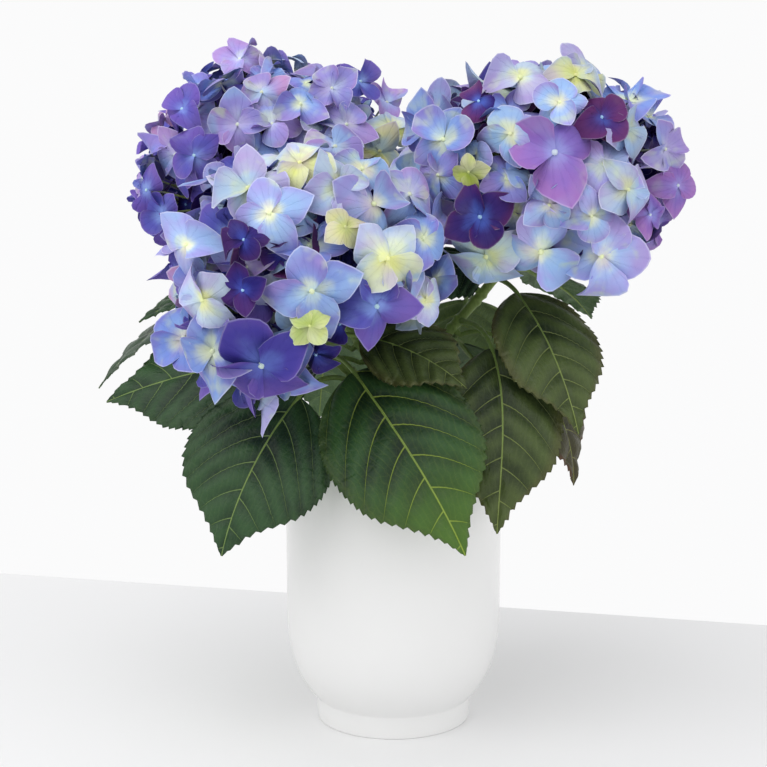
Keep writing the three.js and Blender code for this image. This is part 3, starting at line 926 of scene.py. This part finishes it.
# A sepal's sizes are shares of its length, and each pair is a range that chance picks from.
petal = {
    "rows": 4, "columns": 12, "width": 0.56, "waist": 0.5, "turn": 118.0, "point": (0.02, 0.24),
    "rise": (-0.1, 0.65), "curl": (0.0, 0.9), "hollow": (-1.3, 1.5), "ruffle": (0.06, 0.18),
    "roll": 13.0, "crease": 0.06, "creasePitch": 4, "rowPower": 0.85, "claw": 0.1,
    "broader": (0.86, 1.1), "pointWidth": 0.4, "curlPower": 2.4, "ruffleReach": 2.5,
    "waves": (1.2, 2.4), "waveStart": (0, 6),
    "lengths": (0.88, 1.04), "overlap": 0.05, "unevenTurn": 0.08, "seed": 12,
}
bead = {"segments": 8, "rings": 5, "lobes": 4, "lobe": 0.05, "tall": 0.8, "lift": 0.5, "share": 0.072}
floretKinds = (4, 4, 4, 4, 4, 4, 4, 4, 5, 3)  # the number of sepals in each shape of floret


# One sepal, 1 long, growing along +Y from the floret's middle: rays from there to a round rim.
def petalSheet(chance):
    shape = petal
    rows = np.linspace(0, 1, shape["rows"] + 1) ** shape["rowPower"]
    u, v = np.meshgrid(rows, np.linspace(-1, 1, shape["columns"] + 1), indexing="ij")
    angle = np.radians(shape["turn"]) * v
    width = shape["width"] * chance.uniform(*shape["broader"])
    point = chance.uniform(*shape["point"]) * np.exp(-(angle / shape["pointWidth"]) ** 2)
    rimX = width * np.sin(angle)
    rimY = shape["waist"] + (1 - shape["waist"]) * np.cos(angle) + point
    x = rimX * (shape["claw"] + (1 - shape["claw"]) * u)
    y = rimY * u
    rise, curl = chance.uniform(*shape["rise"]), chance.uniform(*shape["curl"])
    hollow, ruffle = chance.uniform(*shape["hollow"]), chance.uniform(*shape["ruffle"])
    waves, start = chance.uniform(*shape["waves"]), chance.uniform(*shape["waveStart"])
    z = rise * y - curl * y ** shape["curlPower"] + hollow * x ** 2
    z = z + ruffle * np.sin(waves * angle + start) * u ** shape["ruffleReach"]
    z = z - shape["crease"] * np.exp(-(v * shape["creasePitch"]) ** 2) * np.sin(math.pi * u)
    return np.stack([x, y, z], -1).reshape(-1, 3), np.stack([(v + 1) / 2, u], -1).reshape(-1, 2)


def turnAbout(points, axis, angle):
    cosine, sine = math.cos(angle), math.sin(angle)
    a, b = [(1, 2), (2, 0), (0, 1)][axis]
    turned = points.copy()
    turned[:, a] = points[:, a] * cosine - points[:, b] * sine
    turned[:, b] = points[:, a] * sine + points[:, b] * cosine
    return turned


# A hidden collection of florets of radius 1, each of a few overlapping sepals.
def floretShapes(chance):
    shapes = bpy.data.collections.new("floretShapes")
    for number, count in enumerate(floretKinds):
        points, places, shades = [], [], []
        for i in range(count):
            sheet, spots = petalSheet(chance)
            sheet = sheet * chance.uniform(*petal["lengths"])
            sheet = turnAbout(sheet, 1, math.radians(chance.normal(0, petal["roll"])))
            sheet[:, 2] += petal["overlap"] * (i % 2)
            sheet = turnAbout(sheet, 2, 2 * math.pi * i / count + chance.normal(0, petal["unevenTurn"]))
            points.append(sheet)
            places.append(spots)
            shades.append(np.full(len(sheet), chance.uniform(0, 1)))
        size = len(points[0])
        faces = []
        for i in range(count):
            faces += gridFaces(petal["rows"], petal["columns"], i * size)
        mesh = bpy.data.meshes.new(f"floret_{number}")
        mesh.from_pydata(np.vstack(points).tolist(), [], faces)
        addMap(mesh, "petal", np.vstack(places))
        addValues(mesh, "petalShade", "FLOAT", np.concatenate(shades))
        shapes.objects.link(bpy.data.objects.new(f"floret_{number}", mesh))
    return shapes


def beadShapes():
    shapes = bpy.data.collections.new("beadShapes")
    bpy.ops.mesh.primitive_uv_sphere_add(segments=bead["segments"], ring_count=bead["rings"], radius=1)
    ball = bpy.context.object
    for vertex in ball.data.vertices:
        around = math.atan2(vertex.co.y, vertex.co.x)
        lobes = 1 + bead["lobe"] * math.cos(bead["lobes"] * around) * (1 - abs(vertex.co.z))
        vertex.co.x *= lobes
        vertex.co.y *= lobes
        vertex.co.z = vertex.co.z * bead["tall"] + bead["lift"]
    scene.collection.objects.unlink(ball)
    shapes.objects.link(ball)
    return shapes


# Stands one of a collection's shapes on each point, by the point's own facing, spin and size.
def floretTree():
    inputs = {"Shapes": "Collection", "Share of size": "Float", "Material": "Material"}
    board, given = newTree("standingFlorets", inputs)

    def own(name, kind):
        return board.node("GeometryNodeInputNamedAttribute", {"data_type": kind}, {"Name": name})

    sockets = {"Collection": given.other("Shapes"), "Separate Children": True, "Reset Children": True}
    shapes = board.node("GeometryNodeCollectionInfo", None, sockets)
    sockets = {"Vector": own("facing", "FLOAT_VECTOR")}
    facing = board.node("FunctionNodeAlignRotationToVector", {"axis": "Z"}, sockets)
    sockets = {"Axis": (0.0, 0.0, 1.0), "Angle": own("spin", "FLOAT")}
    spin = board.node("FunctionNodeAxisAngleToRotation", None, sockets)
    sockets = {"Rotation": facing, "Rotate By": spin}
    turn = board.node("FunctionNodeRotateRotation", {"rotation_space": "LOCAL"}, sockets)
    size = own("size", "FLOAT") * given.other("Share of size")
    sockets = {"Points": given, "Instance": shapes, "Pick Instance": True,
               "Instance Index": own("kind", "INT"), "Rotation": turn, "Scale": size}
    florets = board.node("GeometryNodeInstanceOnPoints", None, sockets)
    return endTree(board, florets, given.other("Material"))


# Heart, middle and rim colours of a floret, and its bead.
moods = {
    "blue": ("e0eac0", "8099dc", "837cc6", "d5e3b4"),
    "sky": ("f1f4c8", "a3c3ea", "9f9bd6", "dfe8ac"),
    "pearl": ("ecf0a8", "cadce4", "b3aedb", "dce59c"),
    "mint": ("cbd98c", "cbdcc4", "a5c0de", "d3de94"),
    "lilac": ("c8d3ee", "a29cdc", "ad8ecb", "cfdac8"),
    "pink": ("d6d3ea", "b59dd8", "cc99c4", "d6debf"),
    "orchid": ("9290d6", "8263b6", "9a6bb2", "b7c6dc"),
    "violet": ("86a0e4", "5c5cb8", "7059b2", "9fcfe2"),
    "night": ("5c6cbe", "473d9c", "6750a6", "b9d2cc"),
    "plum": ("4c62bc", "402a7c", "642e6c", "86bfee"),
    "deep": ("3f4ca8", "2e267a", "452468", "7fb8ea"),
    "cream": ("e6ec78", "edf0a8", "bdd0e2", "e0e184"),
    "lemon": ("dae25a", "eff087", "edecb2", "d2d66a"),
    "lime": ("95ab38", "adbe50", "c8d27a", "c3cf62"),
}

# Each head: how many florets it has, their radius in mm, the share of each mood, where the
# cream ones gather, and the main florets, given one by one: (turn, climb, radius, mood).
bloom = {
    "front": {
        "count": 98, "radius": 22.5, "inner": 76, "seed": 5, "cut": (0.6, -0.25, -0.76),
        "share": {"blue": 4, "sky": 4, "mint": 2.5, "pearl": 2.5, "lilac": 3, "violet": 2, "deep": 3.4,
                  "pink": 0.5},
        "creamTowards": (0.2, -0.55, 0.8), "creamReach": 0.76, "creamShare": 0.55,
        "lowTowards": (-0.3, -0.45, -0.85), "lowReach": 0.55, "lowMoods": ("violet", "blue", "deep"),
        "set": [
            (276, 1, 25, "blue"), (306, -7, 23, "violet"), (253, -30, 30, "night"), (310, 13, 24, "cream"),
            (293, 28, 14, "lemon"), (312, 37, 23, "sky"), (270, 63, 21, "cream"), (340, 75, 22, "lilac"),
            (238, 46, 25, "pearl"), (228, -4, 21, "pearl"), (231, -24, 26, "blue"), (245, 22, 14, "deep"),
            (246, 1, 15, "deep"), (214, 17, 21, "sky"), (335, 19, 21, "blue"), (342, -8, 17, "pearl"),
            (296, 47, 21, "pearl"), (255, 35, 22, "sky"), (275, -14, 13, "lime"), (345, 38, 22, "lilac"),
            (2, 22, 22, "blue"), (320, 55, 20, "sky"),
        ],
    },
    "left": {
        "count": 150, "radius": 17.2, "inner": 96, "seed": 6,
        "share": {"blue": 5, "violet": 5, "lilac": 5, "pink": 1.0, "deep": 2.0, "sky": 2.0, "mint": 0.5},
        "creamTowards": (0.8, -0.5, 0.3), "creamReach": 0.93, "creamShare": 0.5,
        "lowTowards": (-0.9, -0.1, -0.3), "lowReach": 0.7, "lowMoods": ("violet", "violet", "blue"),
        "set": [
            (232, 13, 19, "violet"), (252, 28, 20, "lilac"), (216, 69, 17, "lilac"), (285, 38, 17, "blue"),
            (262, 46, 18, "pink"), (307, 45, 17, "lilac"), (342, 23, 15, "cream"), (206, -3, 17, "violet"),
            (213, -13, 17, "violet"), (308, 27, 19, "lilac"), (214, 33, 17, "violet"), (350, 5, 18, "blue"),
            (355, 35, 17, "lilac"), (340, 48, 17, "violet"),
        ],
    },
    "right": {
        "count": 98, "radius": 21.5, "inner": 84, "seed": 9,
        "share": {"sky": 4, "blue": 2, "lilac": 2.6, "violet": 1, "deep": 3.2, "pearl": 4, "mint": 3},
        "creamTowards": (0.1, -0.3, 0.95), "creamReach": 0.8, "creamShare": 0.5,
        "lowTowards": (0.8, -0.3, -0.4), "lowReach": 0.75, "lowMoods": ("lilac", "sky", "orchid"),
        "set": [
            (272, 14, 29, "orchid"), (229, 38, 14, "plum"), (239, -14, 21, "plum"), (236, -35, 27, "mint"),
            (267, -31, 27, "sky"), (301, -34, 28, "sky"), (218, 18, 23, "blue"), (250, 54, 22, "pearl"),
            (295, 56, 19, "cream"), (298, 30, 18, "plum"), (304, -2, 20, "pearl"), (331, 13, 18, "lilac"),
            (270, -8, 17, "sky"), (252, 22, 20, "sky"), (235, 5, 11, "lime"), (319, -13, 14, "orchid"),
            (310, 24, 18, "pearl"), (276, 37, 17, "sky"), (337, -2, 17, "orchid"), (289, -13, 18, "sky"),
            (218, 3, 18, "blue"), (200, 22, 21, "blue"), (198, 0, 20, "sky"), (205, -18, 18, "lilac"),
        ],
    },
}
# How florets are spread over a head. Insets are millimetres in from its surface.
spread = {
    "tries": 14, "underside": 0.5, "lean": 0.52, "inset": (1.5, 17.0), "deepInset": 7.0, "cutWithin": 0.97,
    "sizes": (0.8, 1.12), "deepSize": 0.8, "elbowRoom": 0.6, "squareOn": 0.5, "lookUp": 0.12, "lowInset": 14,
    # The deeper layer's florets take dark moods and are dimmed to 0.7 of their colour, both as painted shade.
    "innerReach": (0.6, 0.76), "innerLean": 0.4, "innerPaintedShade": 0.7, "innerSizes": (0.75, 1),
    "standBack": 13.0, "standBackWithin": 1.35,
    "setInset": -1.5, "setForward": 0.75, "setUp": 0.08,
    # Deep and plum florets are dark and sit further in: partly their own colour, partly painted shade in the
    # gaps.
    "deepMoods": ("deep", "plum"), "innerMoods": ("deep", "deep", "plum", "violet"),
    "creamMoods": ("cream", "pearl", "mint", "sky", "lemon"), "lowShare": 0.7,
}
# How a floret's colours stray from its mood's. Pale florets are washed with others, dark ones less.
stray = {
    "towards": ("blue", "lilac", "sky"), "share": (0, 0.3),
    "darkest": 0.84, "lightest": 1.08, "paleBonus": 0.1,
    "washFrom": 0.2, "washOver": 0.25, "leastWash": 0.04,
}


def headTree(side):
    mesh = frame["nodes"][f"flower_head_{side}"].data
    points = [vertex.co.copy() for vertex in mesh.vertices]
    return BVHTree.FromPolygons(points, [list(face.vertices) for face in mesh.polygons])


def pickMood(look, direction, chance):
    if direction @ unit(look["creamTowards"]) > look["creamReach"] and chance.random() < look["creamShare"]:
        return chance.choice(spread["creamMoods"])
    if direction @ unit(look["lowTowards"]) > look["lowReach"] and chance.random() < spread["lowShare"]:
        return chance.choice(look["lowMoods"])
    names = list(look["share"])
    weights = np.array(list(look["share"].values()), float)
    return chance.choice(names, p=weights / weights.sum())


def newFloret(point, facing, size, spin, kind, mood, paintedShade, chance):
    tints = [np.array(paint(code)) for code in moods[mood]]
    other = [np.array(paint(code)) for code in moods[chance.choice(stray["towards"])]]
    paleness = (tints[1][:3].mean() - stray["washFrom"]) / stray["washOver"]
    washed = float(np.clip(paleness, stray["leastWash"], 1))
    share = chance.uniform(*stray["share"]) * washed
    # A floret in painted shade has all its colours darkened; a value of 1 paints no shade.
    light = chance.uniform(stray["darkest"], stray["lightest"] + stray["paleBonus"] * washed) * paintedShade
    colours = [(one * (1 - share) + two * share) * light for one, two in zip(tints, other)]
    colours[2][3] = washed
    return {"point": point, "facing": facing, "size": size, "spin": spin, "kind": kind, "colours": colours}


class FlowerHead:
    # Fills one head with florets. taken holds the places and sizes of those that show.
    def __init__(self, side):
        self.look = bloom[side]
        self.chance = np.random.default_rng(self.look["seed"])
        self.tree = headTree(side)
        self.centre = np.array(heads[side]["centre"]) * mm
        self.under = unit(heads[side]["under"])
        self.cut = unit(self.look.get("cut", (0, 0, -1)))
        self.florets = []
        self.taken = []

    def add(self, spot, facing, size, mood, paintedShade=1.0):
        spin = self.chance.uniform(0, 2 * math.pi)
        kind = int(self.chance.integers(len(floretKinds)))
        self.florets.append(newFloret(spot, unit(facing), size * mm, spin, kind, mood, paintedShade, self.chance))

    # The surface in a random direction, or None on the underside and where the head is cut back.
    def randomPlace(self):
        direction = unit(self.chance.normal(0, 1, 3))
        hit, normal, _, _ = self.tree.ray_cast(Vector(self.centre), Vector(direction))
        if hit is None or direction @ self.under > spread["underside"]:
            return None
        if np.array(normal) @ self.cut > spread["cutWithin"]:
            return None
        return direction, np.array(hit), np.array(normal)

    def roomAt(self, place):
        gaps = [np.linalg.norm(place - spot) - size * spread["elbowRoom"] * mm for spot, size in self.taken]
        return min(gaps, default=1)

    def setMainFlorets(self):
        for turn, climb, size, mood in self.look["set"]:
            slope = math.radians(climb)
            direction = compass(turn) * math.cos(slope) + [0, 0, math.sin(slope)]
            spot = np.array(self.tree.ray_cast(Vector(self.centre), Vector(direction))[0])
            self.taken.append((spot, size))
            facing = direction + [0, -spread["setForward"], spread["setUp"]]
            self.add(spot - direction * spread["setInset"] * mm, facing, size, mood)

    # The emptiest of a few random places takes the next floret.
    def addShownFloret(self):
        best = (-1, None)
        for _ in range(spread["tries"]):
            found = self.randomPlace()
            if found is None:
                continue
            room = self.roomAt(found[1])
            if room > best[0]:
                best = (room, found)
        if best[1] is None:
            return
        direction, spot, normal = best[1]
        mood = pickMood(self.look, direction, self.chance)
        # Deep florets are dark, smaller and set further in, partly as painted shade in the gaps.
        isDeep = mood in spread["deepMoods"]
        size = self.look["radius"] * self.chance.uniform(*spread["sizes"])
        size = size * (spread["deepSize"] if isDeep else 1)
        self.taken.append((spot, size))
        inset = self.chance.uniform(*spread["inset"]) + (spread["deepInset"] if isDeep else 0)
        # Close to a main floret the others stand back, so that they don't poke through it.
        mains = self.taken[:len(self.look["set"])]
        nearest = min(np.linalg.norm(spot - other) / (wide * mm) for other, wide in mains)
        inset += spread["standBack"] * max(0, spread["standBackWithin"] - nearest)
        low = max(0, direction @ self.under)
        facing = direction + normal * spread["squareOn"] - self.under * low
        facing = facing + self.chance.normal(0, spread["lean"], 3) + [0, 0, spread["lookUp"]]
        self.add(spot - direction * (inset + spread["lowInset"] * low) * mm, facing, size, mood)

    # A deeper layer in the shade closes the gaps between the others. Its florets are dark and dimmed, as
    # painted shade.
    def addInnerFloret(self):
        found = self.randomPlace()
        if found is None:
            return
        direction, spot, _ = found
        spot = self.centre + (spot - self.centre) * self.chance.uniform(*spread["innerReach"])
        facing = direction + self.chance.normal(0, spread["innerLean"], 3)
        mood = self.chance.choice(spread["innerMoods"])
        size = self.look["radius"] * self.chance.uniform(*spread["innerSizes"])
        self.add(spot, facing, size, mood, spread["innerPaintedShade"])


# The main florets first, then the others that show, and last the deeper layer.
def spreadFlorets(side):
    head = FlowerHead(side)
    head.setMainFlorets()
    while len(head.taken) < head.look["count"]:
        head.addShownFloret()
    while len(head.florets) < head.look["count"] + head.look["inner"]:
        head.addInnerFloret()
    return head.florets


def floretPoints(name, florets):
    piece = newPiece(name, [floret["point"] for floret in florets], [])
    mesh = piece.data
    addValues(mesh, "facing", "FLOAT_VECTOR", np.array([floret["facing"] for floret in florets]))
    addValues(mesh, "spin", "FLOAT", [floret["spin"] for floret in florets])
    addValues(mesh, "size", "FLOAT", [floret["size"] for floret in florets])
    addValues(mesh, "kind", "INT", np.array([floret["kind"] for floret in florets], int))
    for number, tint in enumerate(("heartTint", "middleTint", "rimTint", "beadTint")):
        addValues(mesh, tint, "FLOAT_COLOR", np.array([floret["colours"][number] for floret in florets]))
    return piece


petalLook = {
    "clouds": (90.0, 3.0), "grain": (900.0, 2.0), "washes": (42.0, 2.0), "secondWashes": (67.0, 2.0),
    "heart": (0.04, 0.55), "heartByCloud": 0.5, "heartByShade": 0.25,
    "rim": (0.12, 0.85), "rimAlong": 0.8, "rimAcross": 0.5, "rimByCloud": 0.6, "rimByShade": 0.8,
    "sky": "9cc6ec", "skyFrom": (0.5, 0.7), "skyShare": 0.6,
    "lilac": "b498d2", "lilacFrom": (0.5, 0.32), "lilacShare": 0.5,
    "green": "d3e4b4", "greenFrom": (0.55, 0.75), "greenShare": 0.55,
    "veins": 7, "veinWander": 0.35, "vein": (0.02, 0.16), "veinFrom": (0.02, 0.3), "veinShare": 0.16,
    "veinTint": (0.8, 0.82, 0.96, 1.0), "shadeFrom": (0.85, 0.15), "shadeShare": 0.42, "shadeByWash": 0.6,
    "shadeTint": (0.62, 0.62, 0.78, 1.0), "edge": (0.955, 0.985), "edgeShare": 0.15, "paleEdgeShare": 0.25,
    "edgeTint": (0.78, 0.8, 0.95, 1.0), "grainHeight": 0.3, "veinDepth": 0.6,
    "roughness": (0.5, 0.2), "relief": 0.0005, "strength": 0.6,
}
beadLook = {"grain": (1500.0, 2.0), "pale": (0.9, 0.92, 0.8, 1.0), "paleShare": 0.3, "roughness": (0.35, 0.2)}
rayLook = {
    "streaks": (500.0, 3.0), "dark": "7f9448", "light": "b3c277", "flush": "9a93c4",
    "flushFrom": (0.5, 1.0), "flushShare": 0.7, "roughness": (0.5, 0.2),
}


def petalFinish():
    look = petalLook
    material, board, shader = newFinish("sepals", {"Specular IOR Level": 0.16})
    petalMap = board.node("ShaderNodeUVMap", {"uv_map": "petal"})
    across = board.node("ShaderNodeSeparateXYZ", None, {0: petalMap})
    along = across.other("Y")
    place = board.place()
    shade = board.attribute("petalShade", "Fac")
    cloud = board.noise(place, *look["clouds"])
    fine = board.noise(place, *look["grain"])
    washed = board.attribute("rimTint", "Alpha")
    heart, middle, rim = (board.attribute(name, "Color") for name in ("heartTint", "middleTint", "rimTint"))
    inner = along + (cloud - 0.5) * look["heartByCloud"] + (shade - 0.5) * look["heartByShade"]
    colour = board.blend(board.ease(inner, *look["heart"]), heart, middle)
    outer = along * along * look["rimAlong"] + (across - 0.5) * along * look["rimAcross"]
    outer = outer + (cloud - 0.5) * look["rimByCloud"] + (shade - 0.5) * look["rimByShade"]
    colour = board.blend(board.ease(outer, *look["rim"]), colour, rim)
    # Broad washes of sky, lilac and pale green run over the paler florets.
    wash = board.noise(place, *look["washes"])
    second = board.noise(place, *look["secondWashes"])
    for field, tint in ((wash, "sky"), (wash, "lilac"), (second, "green")):
        share = board.ease(field, *look[tint + "From"]) * washed * look[tint + "Share"]
        colour = board.blend(share, colour, look[tint])
    # Fine veins fan out from the claw, some sepals get painted shade, and the very edge is pale.
    lines = across * look["veins"] + (fine - 0.5) * look["veinWander"]
    lines = abs(across.maths("FRACT", lines) - 0.5)
    veins = (1 - board.ease(lines, *look["vein"])) * board.ease(along, *look["veinFrom"])
    colour = board.blend(veins * look["veinShare"], colour, look["veinTint"], "MULTIPLY")
    paintedShade = board.ease(shade + (second - 0.5) * look["shadeByWash"], *look["shadeFrom"])
    colour = board.blend(paintedShade * look["shadeShare"], colour, look["shadeTint"], "MULTIPLY")
    edge = board.ease(along, *look["edge"]) * (look["edgeShare"] + washed * look["paleEdgeShare"])
    least, byGrain = look["roughness"]
    coverWith(board, shader, board.blend(edge, colour, look["edgeTint"]), least + fine * byGrain)
    height = fine * look["grainHeight"] - veins * look["veinDepth"]
    addRelief(board, shader, height, look["relief"], look["strength"])
    return material


def beadFinish():
    material, board, shader = newFinish("beads", {"Specular IOR Level": 0.5})
    fine = board.noise(board.place(), *beadLook["grain"])
    tint = board.attribute("beadTint", "Color")
    colour = board.blend(fine * beadLook["paleShare"], tint, beadLook["pale"])
    least, byGrain = beadLook["roughness"]
    coverWith(board, shader, colour, least + fine * byGrain)
    return material


def rayFinish():
    material, board, shader = newFinish("flowerStalks", {"Specular IOR Level": 0.4})
    along = board.attribute("along", "Fac")
    streak = board.noise(board.place(), *rayLook["streaks"])
    green = board.blend(streak, rayLook["dark"], rayLook["light"])
    flush = board.ease(along, *rayLook["flushFrom"]) * rayLook["flushShare"]
    least, byStreak = rayLook["roughness"]
    coverWith(board, shader, board.blend(flush, green, rayLook["flush"]), least + streak * byStreak)
    return material


cellMargin = 0.07


# Each sepal has a cell of its own in the square of the bake map.
def addPetalCells(mesh):
    faces = petal["rows"] * petal["columns"]
    corners = len(mesh.loops)
    places = np.empty(corners * 2)
    mesh.uv_layers["petal"].data.foreach_get("uv", places)
    places = places.reshape(-1, 2)
    number = np.arange(corners) // (faces * 4)
    cells = math.ceil(math.sqrt(number[-1] + 1))
    places = places * (1 - 2 * cellMargin) + cellMargin + np.column_stack([number % cells, number // cells])
    mesh.uv_layers.new(name="OFBake").data.foreach_set("uv", (places / cells).ravel())


# Distances in millimetres, radii at a ray's or a stalk's foot and end.
rays = {
    "count": 9, "reach": 0.5, "lift": 4, "start": 2, "rise": 9, "arch": 5, "radii": (1.9, 1.2),
    "stalkBack": 9, "stalkReach": 0.4, "stalkArch": 2, "stalkRadii": (0.95, 0.6), "rows": 7, "sides": 6,
}


# Stalks: a few thick rays leave the shoot's tip, and each floret hangs on the nearest ray.
def stalkLines(side, florets):
    head = heads[side]
    inside = -unit(head["under"])
    tip = (np.array(head["centre"]) - inside * head["depth"]) * mm
    steps = np.linspace(0, 1, rays["rows"])
    ends = []
    for floret in florets[:rays["count"]]:
        ends.append(tip + (floret["point"] - tip) * rays["reach"] + inside * rays["lift"] * mm)
    lines = []
    for end in ends:
        bend = [tip - inside * rays["start"] * mm, tip + inside * rays["rise"] * mm,
                (tip + end) / 2 + inside * rays["arch"] * mm, end]
        lines.append((bezier(bend, steps), np.linspace(*rays["radii"], rays["rows"]) * mm))
    for floret in florets:
        point = floret["point"]
        back = point - floret["facing"] * rays["stalkBack"] * mm
        end = min(ends, key=lambda spot: np.linalg.norm(spot - point))
        bend = [end, end + (back - end) * rays["stalkReach"] + inside * rays["stalkArch"] * mm, back, point]
        lines.append((bezier(bend, steps), np.linspace(*rays["stalkRadii"], rays["rows"]) * mm))
    return lines


def makeHead(side, shapes, beads, finishes):
    florets = spreadFlorets(side)
    slot = {"front": "petal_blue", "left": "petal_violet", "right": "petal_pale"}[side]
    tree = floretTree()
    sepals = floretPoints(f"sepals_{side}", florets)
    runTree(tree, sepals, {"Shapes": shapes, "Share of size": 1.0, "Material": finishes["sepals"]})
    addPetalCells(sepals.data)
    keepPiece(sepals, slot, f"flower_head_{side}")
    eyes = floretPoints(f"beads_{side}", [dict(floret, kind=0) for floret in florets])
    runTree(tree, eyes, {"Shapes": beads, "Share of size": bead["share"], "Material": finishes["beads"]})
    lines = stalkLines(side, florets)
    stalks = growLimbs(f"flower_stalks_{side}", lines, finishes["stalks"], rays["sides"])
    keepPiece(eyes, slot)
    keepPiece(stalks, "green_stem")


def makeHeads():
    chance = np.random.default_rng(petal["seed"])
    shapes = floretShapes(chance)
    beads = beadShapes()
    finishes = {"sepals": petalFinish(), "beads": beadFinish(), "stalks": rayFinish()}
    for side in heads:
        makeHead(side, shapes, beads, finishes)
    dropShapes(shapes)
    dropShapes(beads)


def makeTable():
    table = view["table"]
    near, far, wide = table["near"], table["far"], table["halfWidth"]
    slant = table["slant"] * wide
    corners = [(-wide, near, 0), (wide, near, 0), (wide, far + slant, 0), (-wide, far - slant, 0)]
    material, board, shader = newFinish("paleTable", {"Specular IOR Level": 0.3})
    cloud = board.noise(board.place(), *table["clouds"])
    least, byCloud = table["roughness"]
    coverWith(board, shader, board.blend(cloud, table["pale"], table["dull"]), least + cloud * byCloud)
    newPiece("table", corners, [[0, 1, 2, 3]], [material])


addCamera()
addLights()
makeTable()
makePot()
makeSoil()
makeTrunk()
print("pot, soil and stem done")
makeLeaves()
print("leaves and shoots done")
makeHeads()
print("flower heads done")
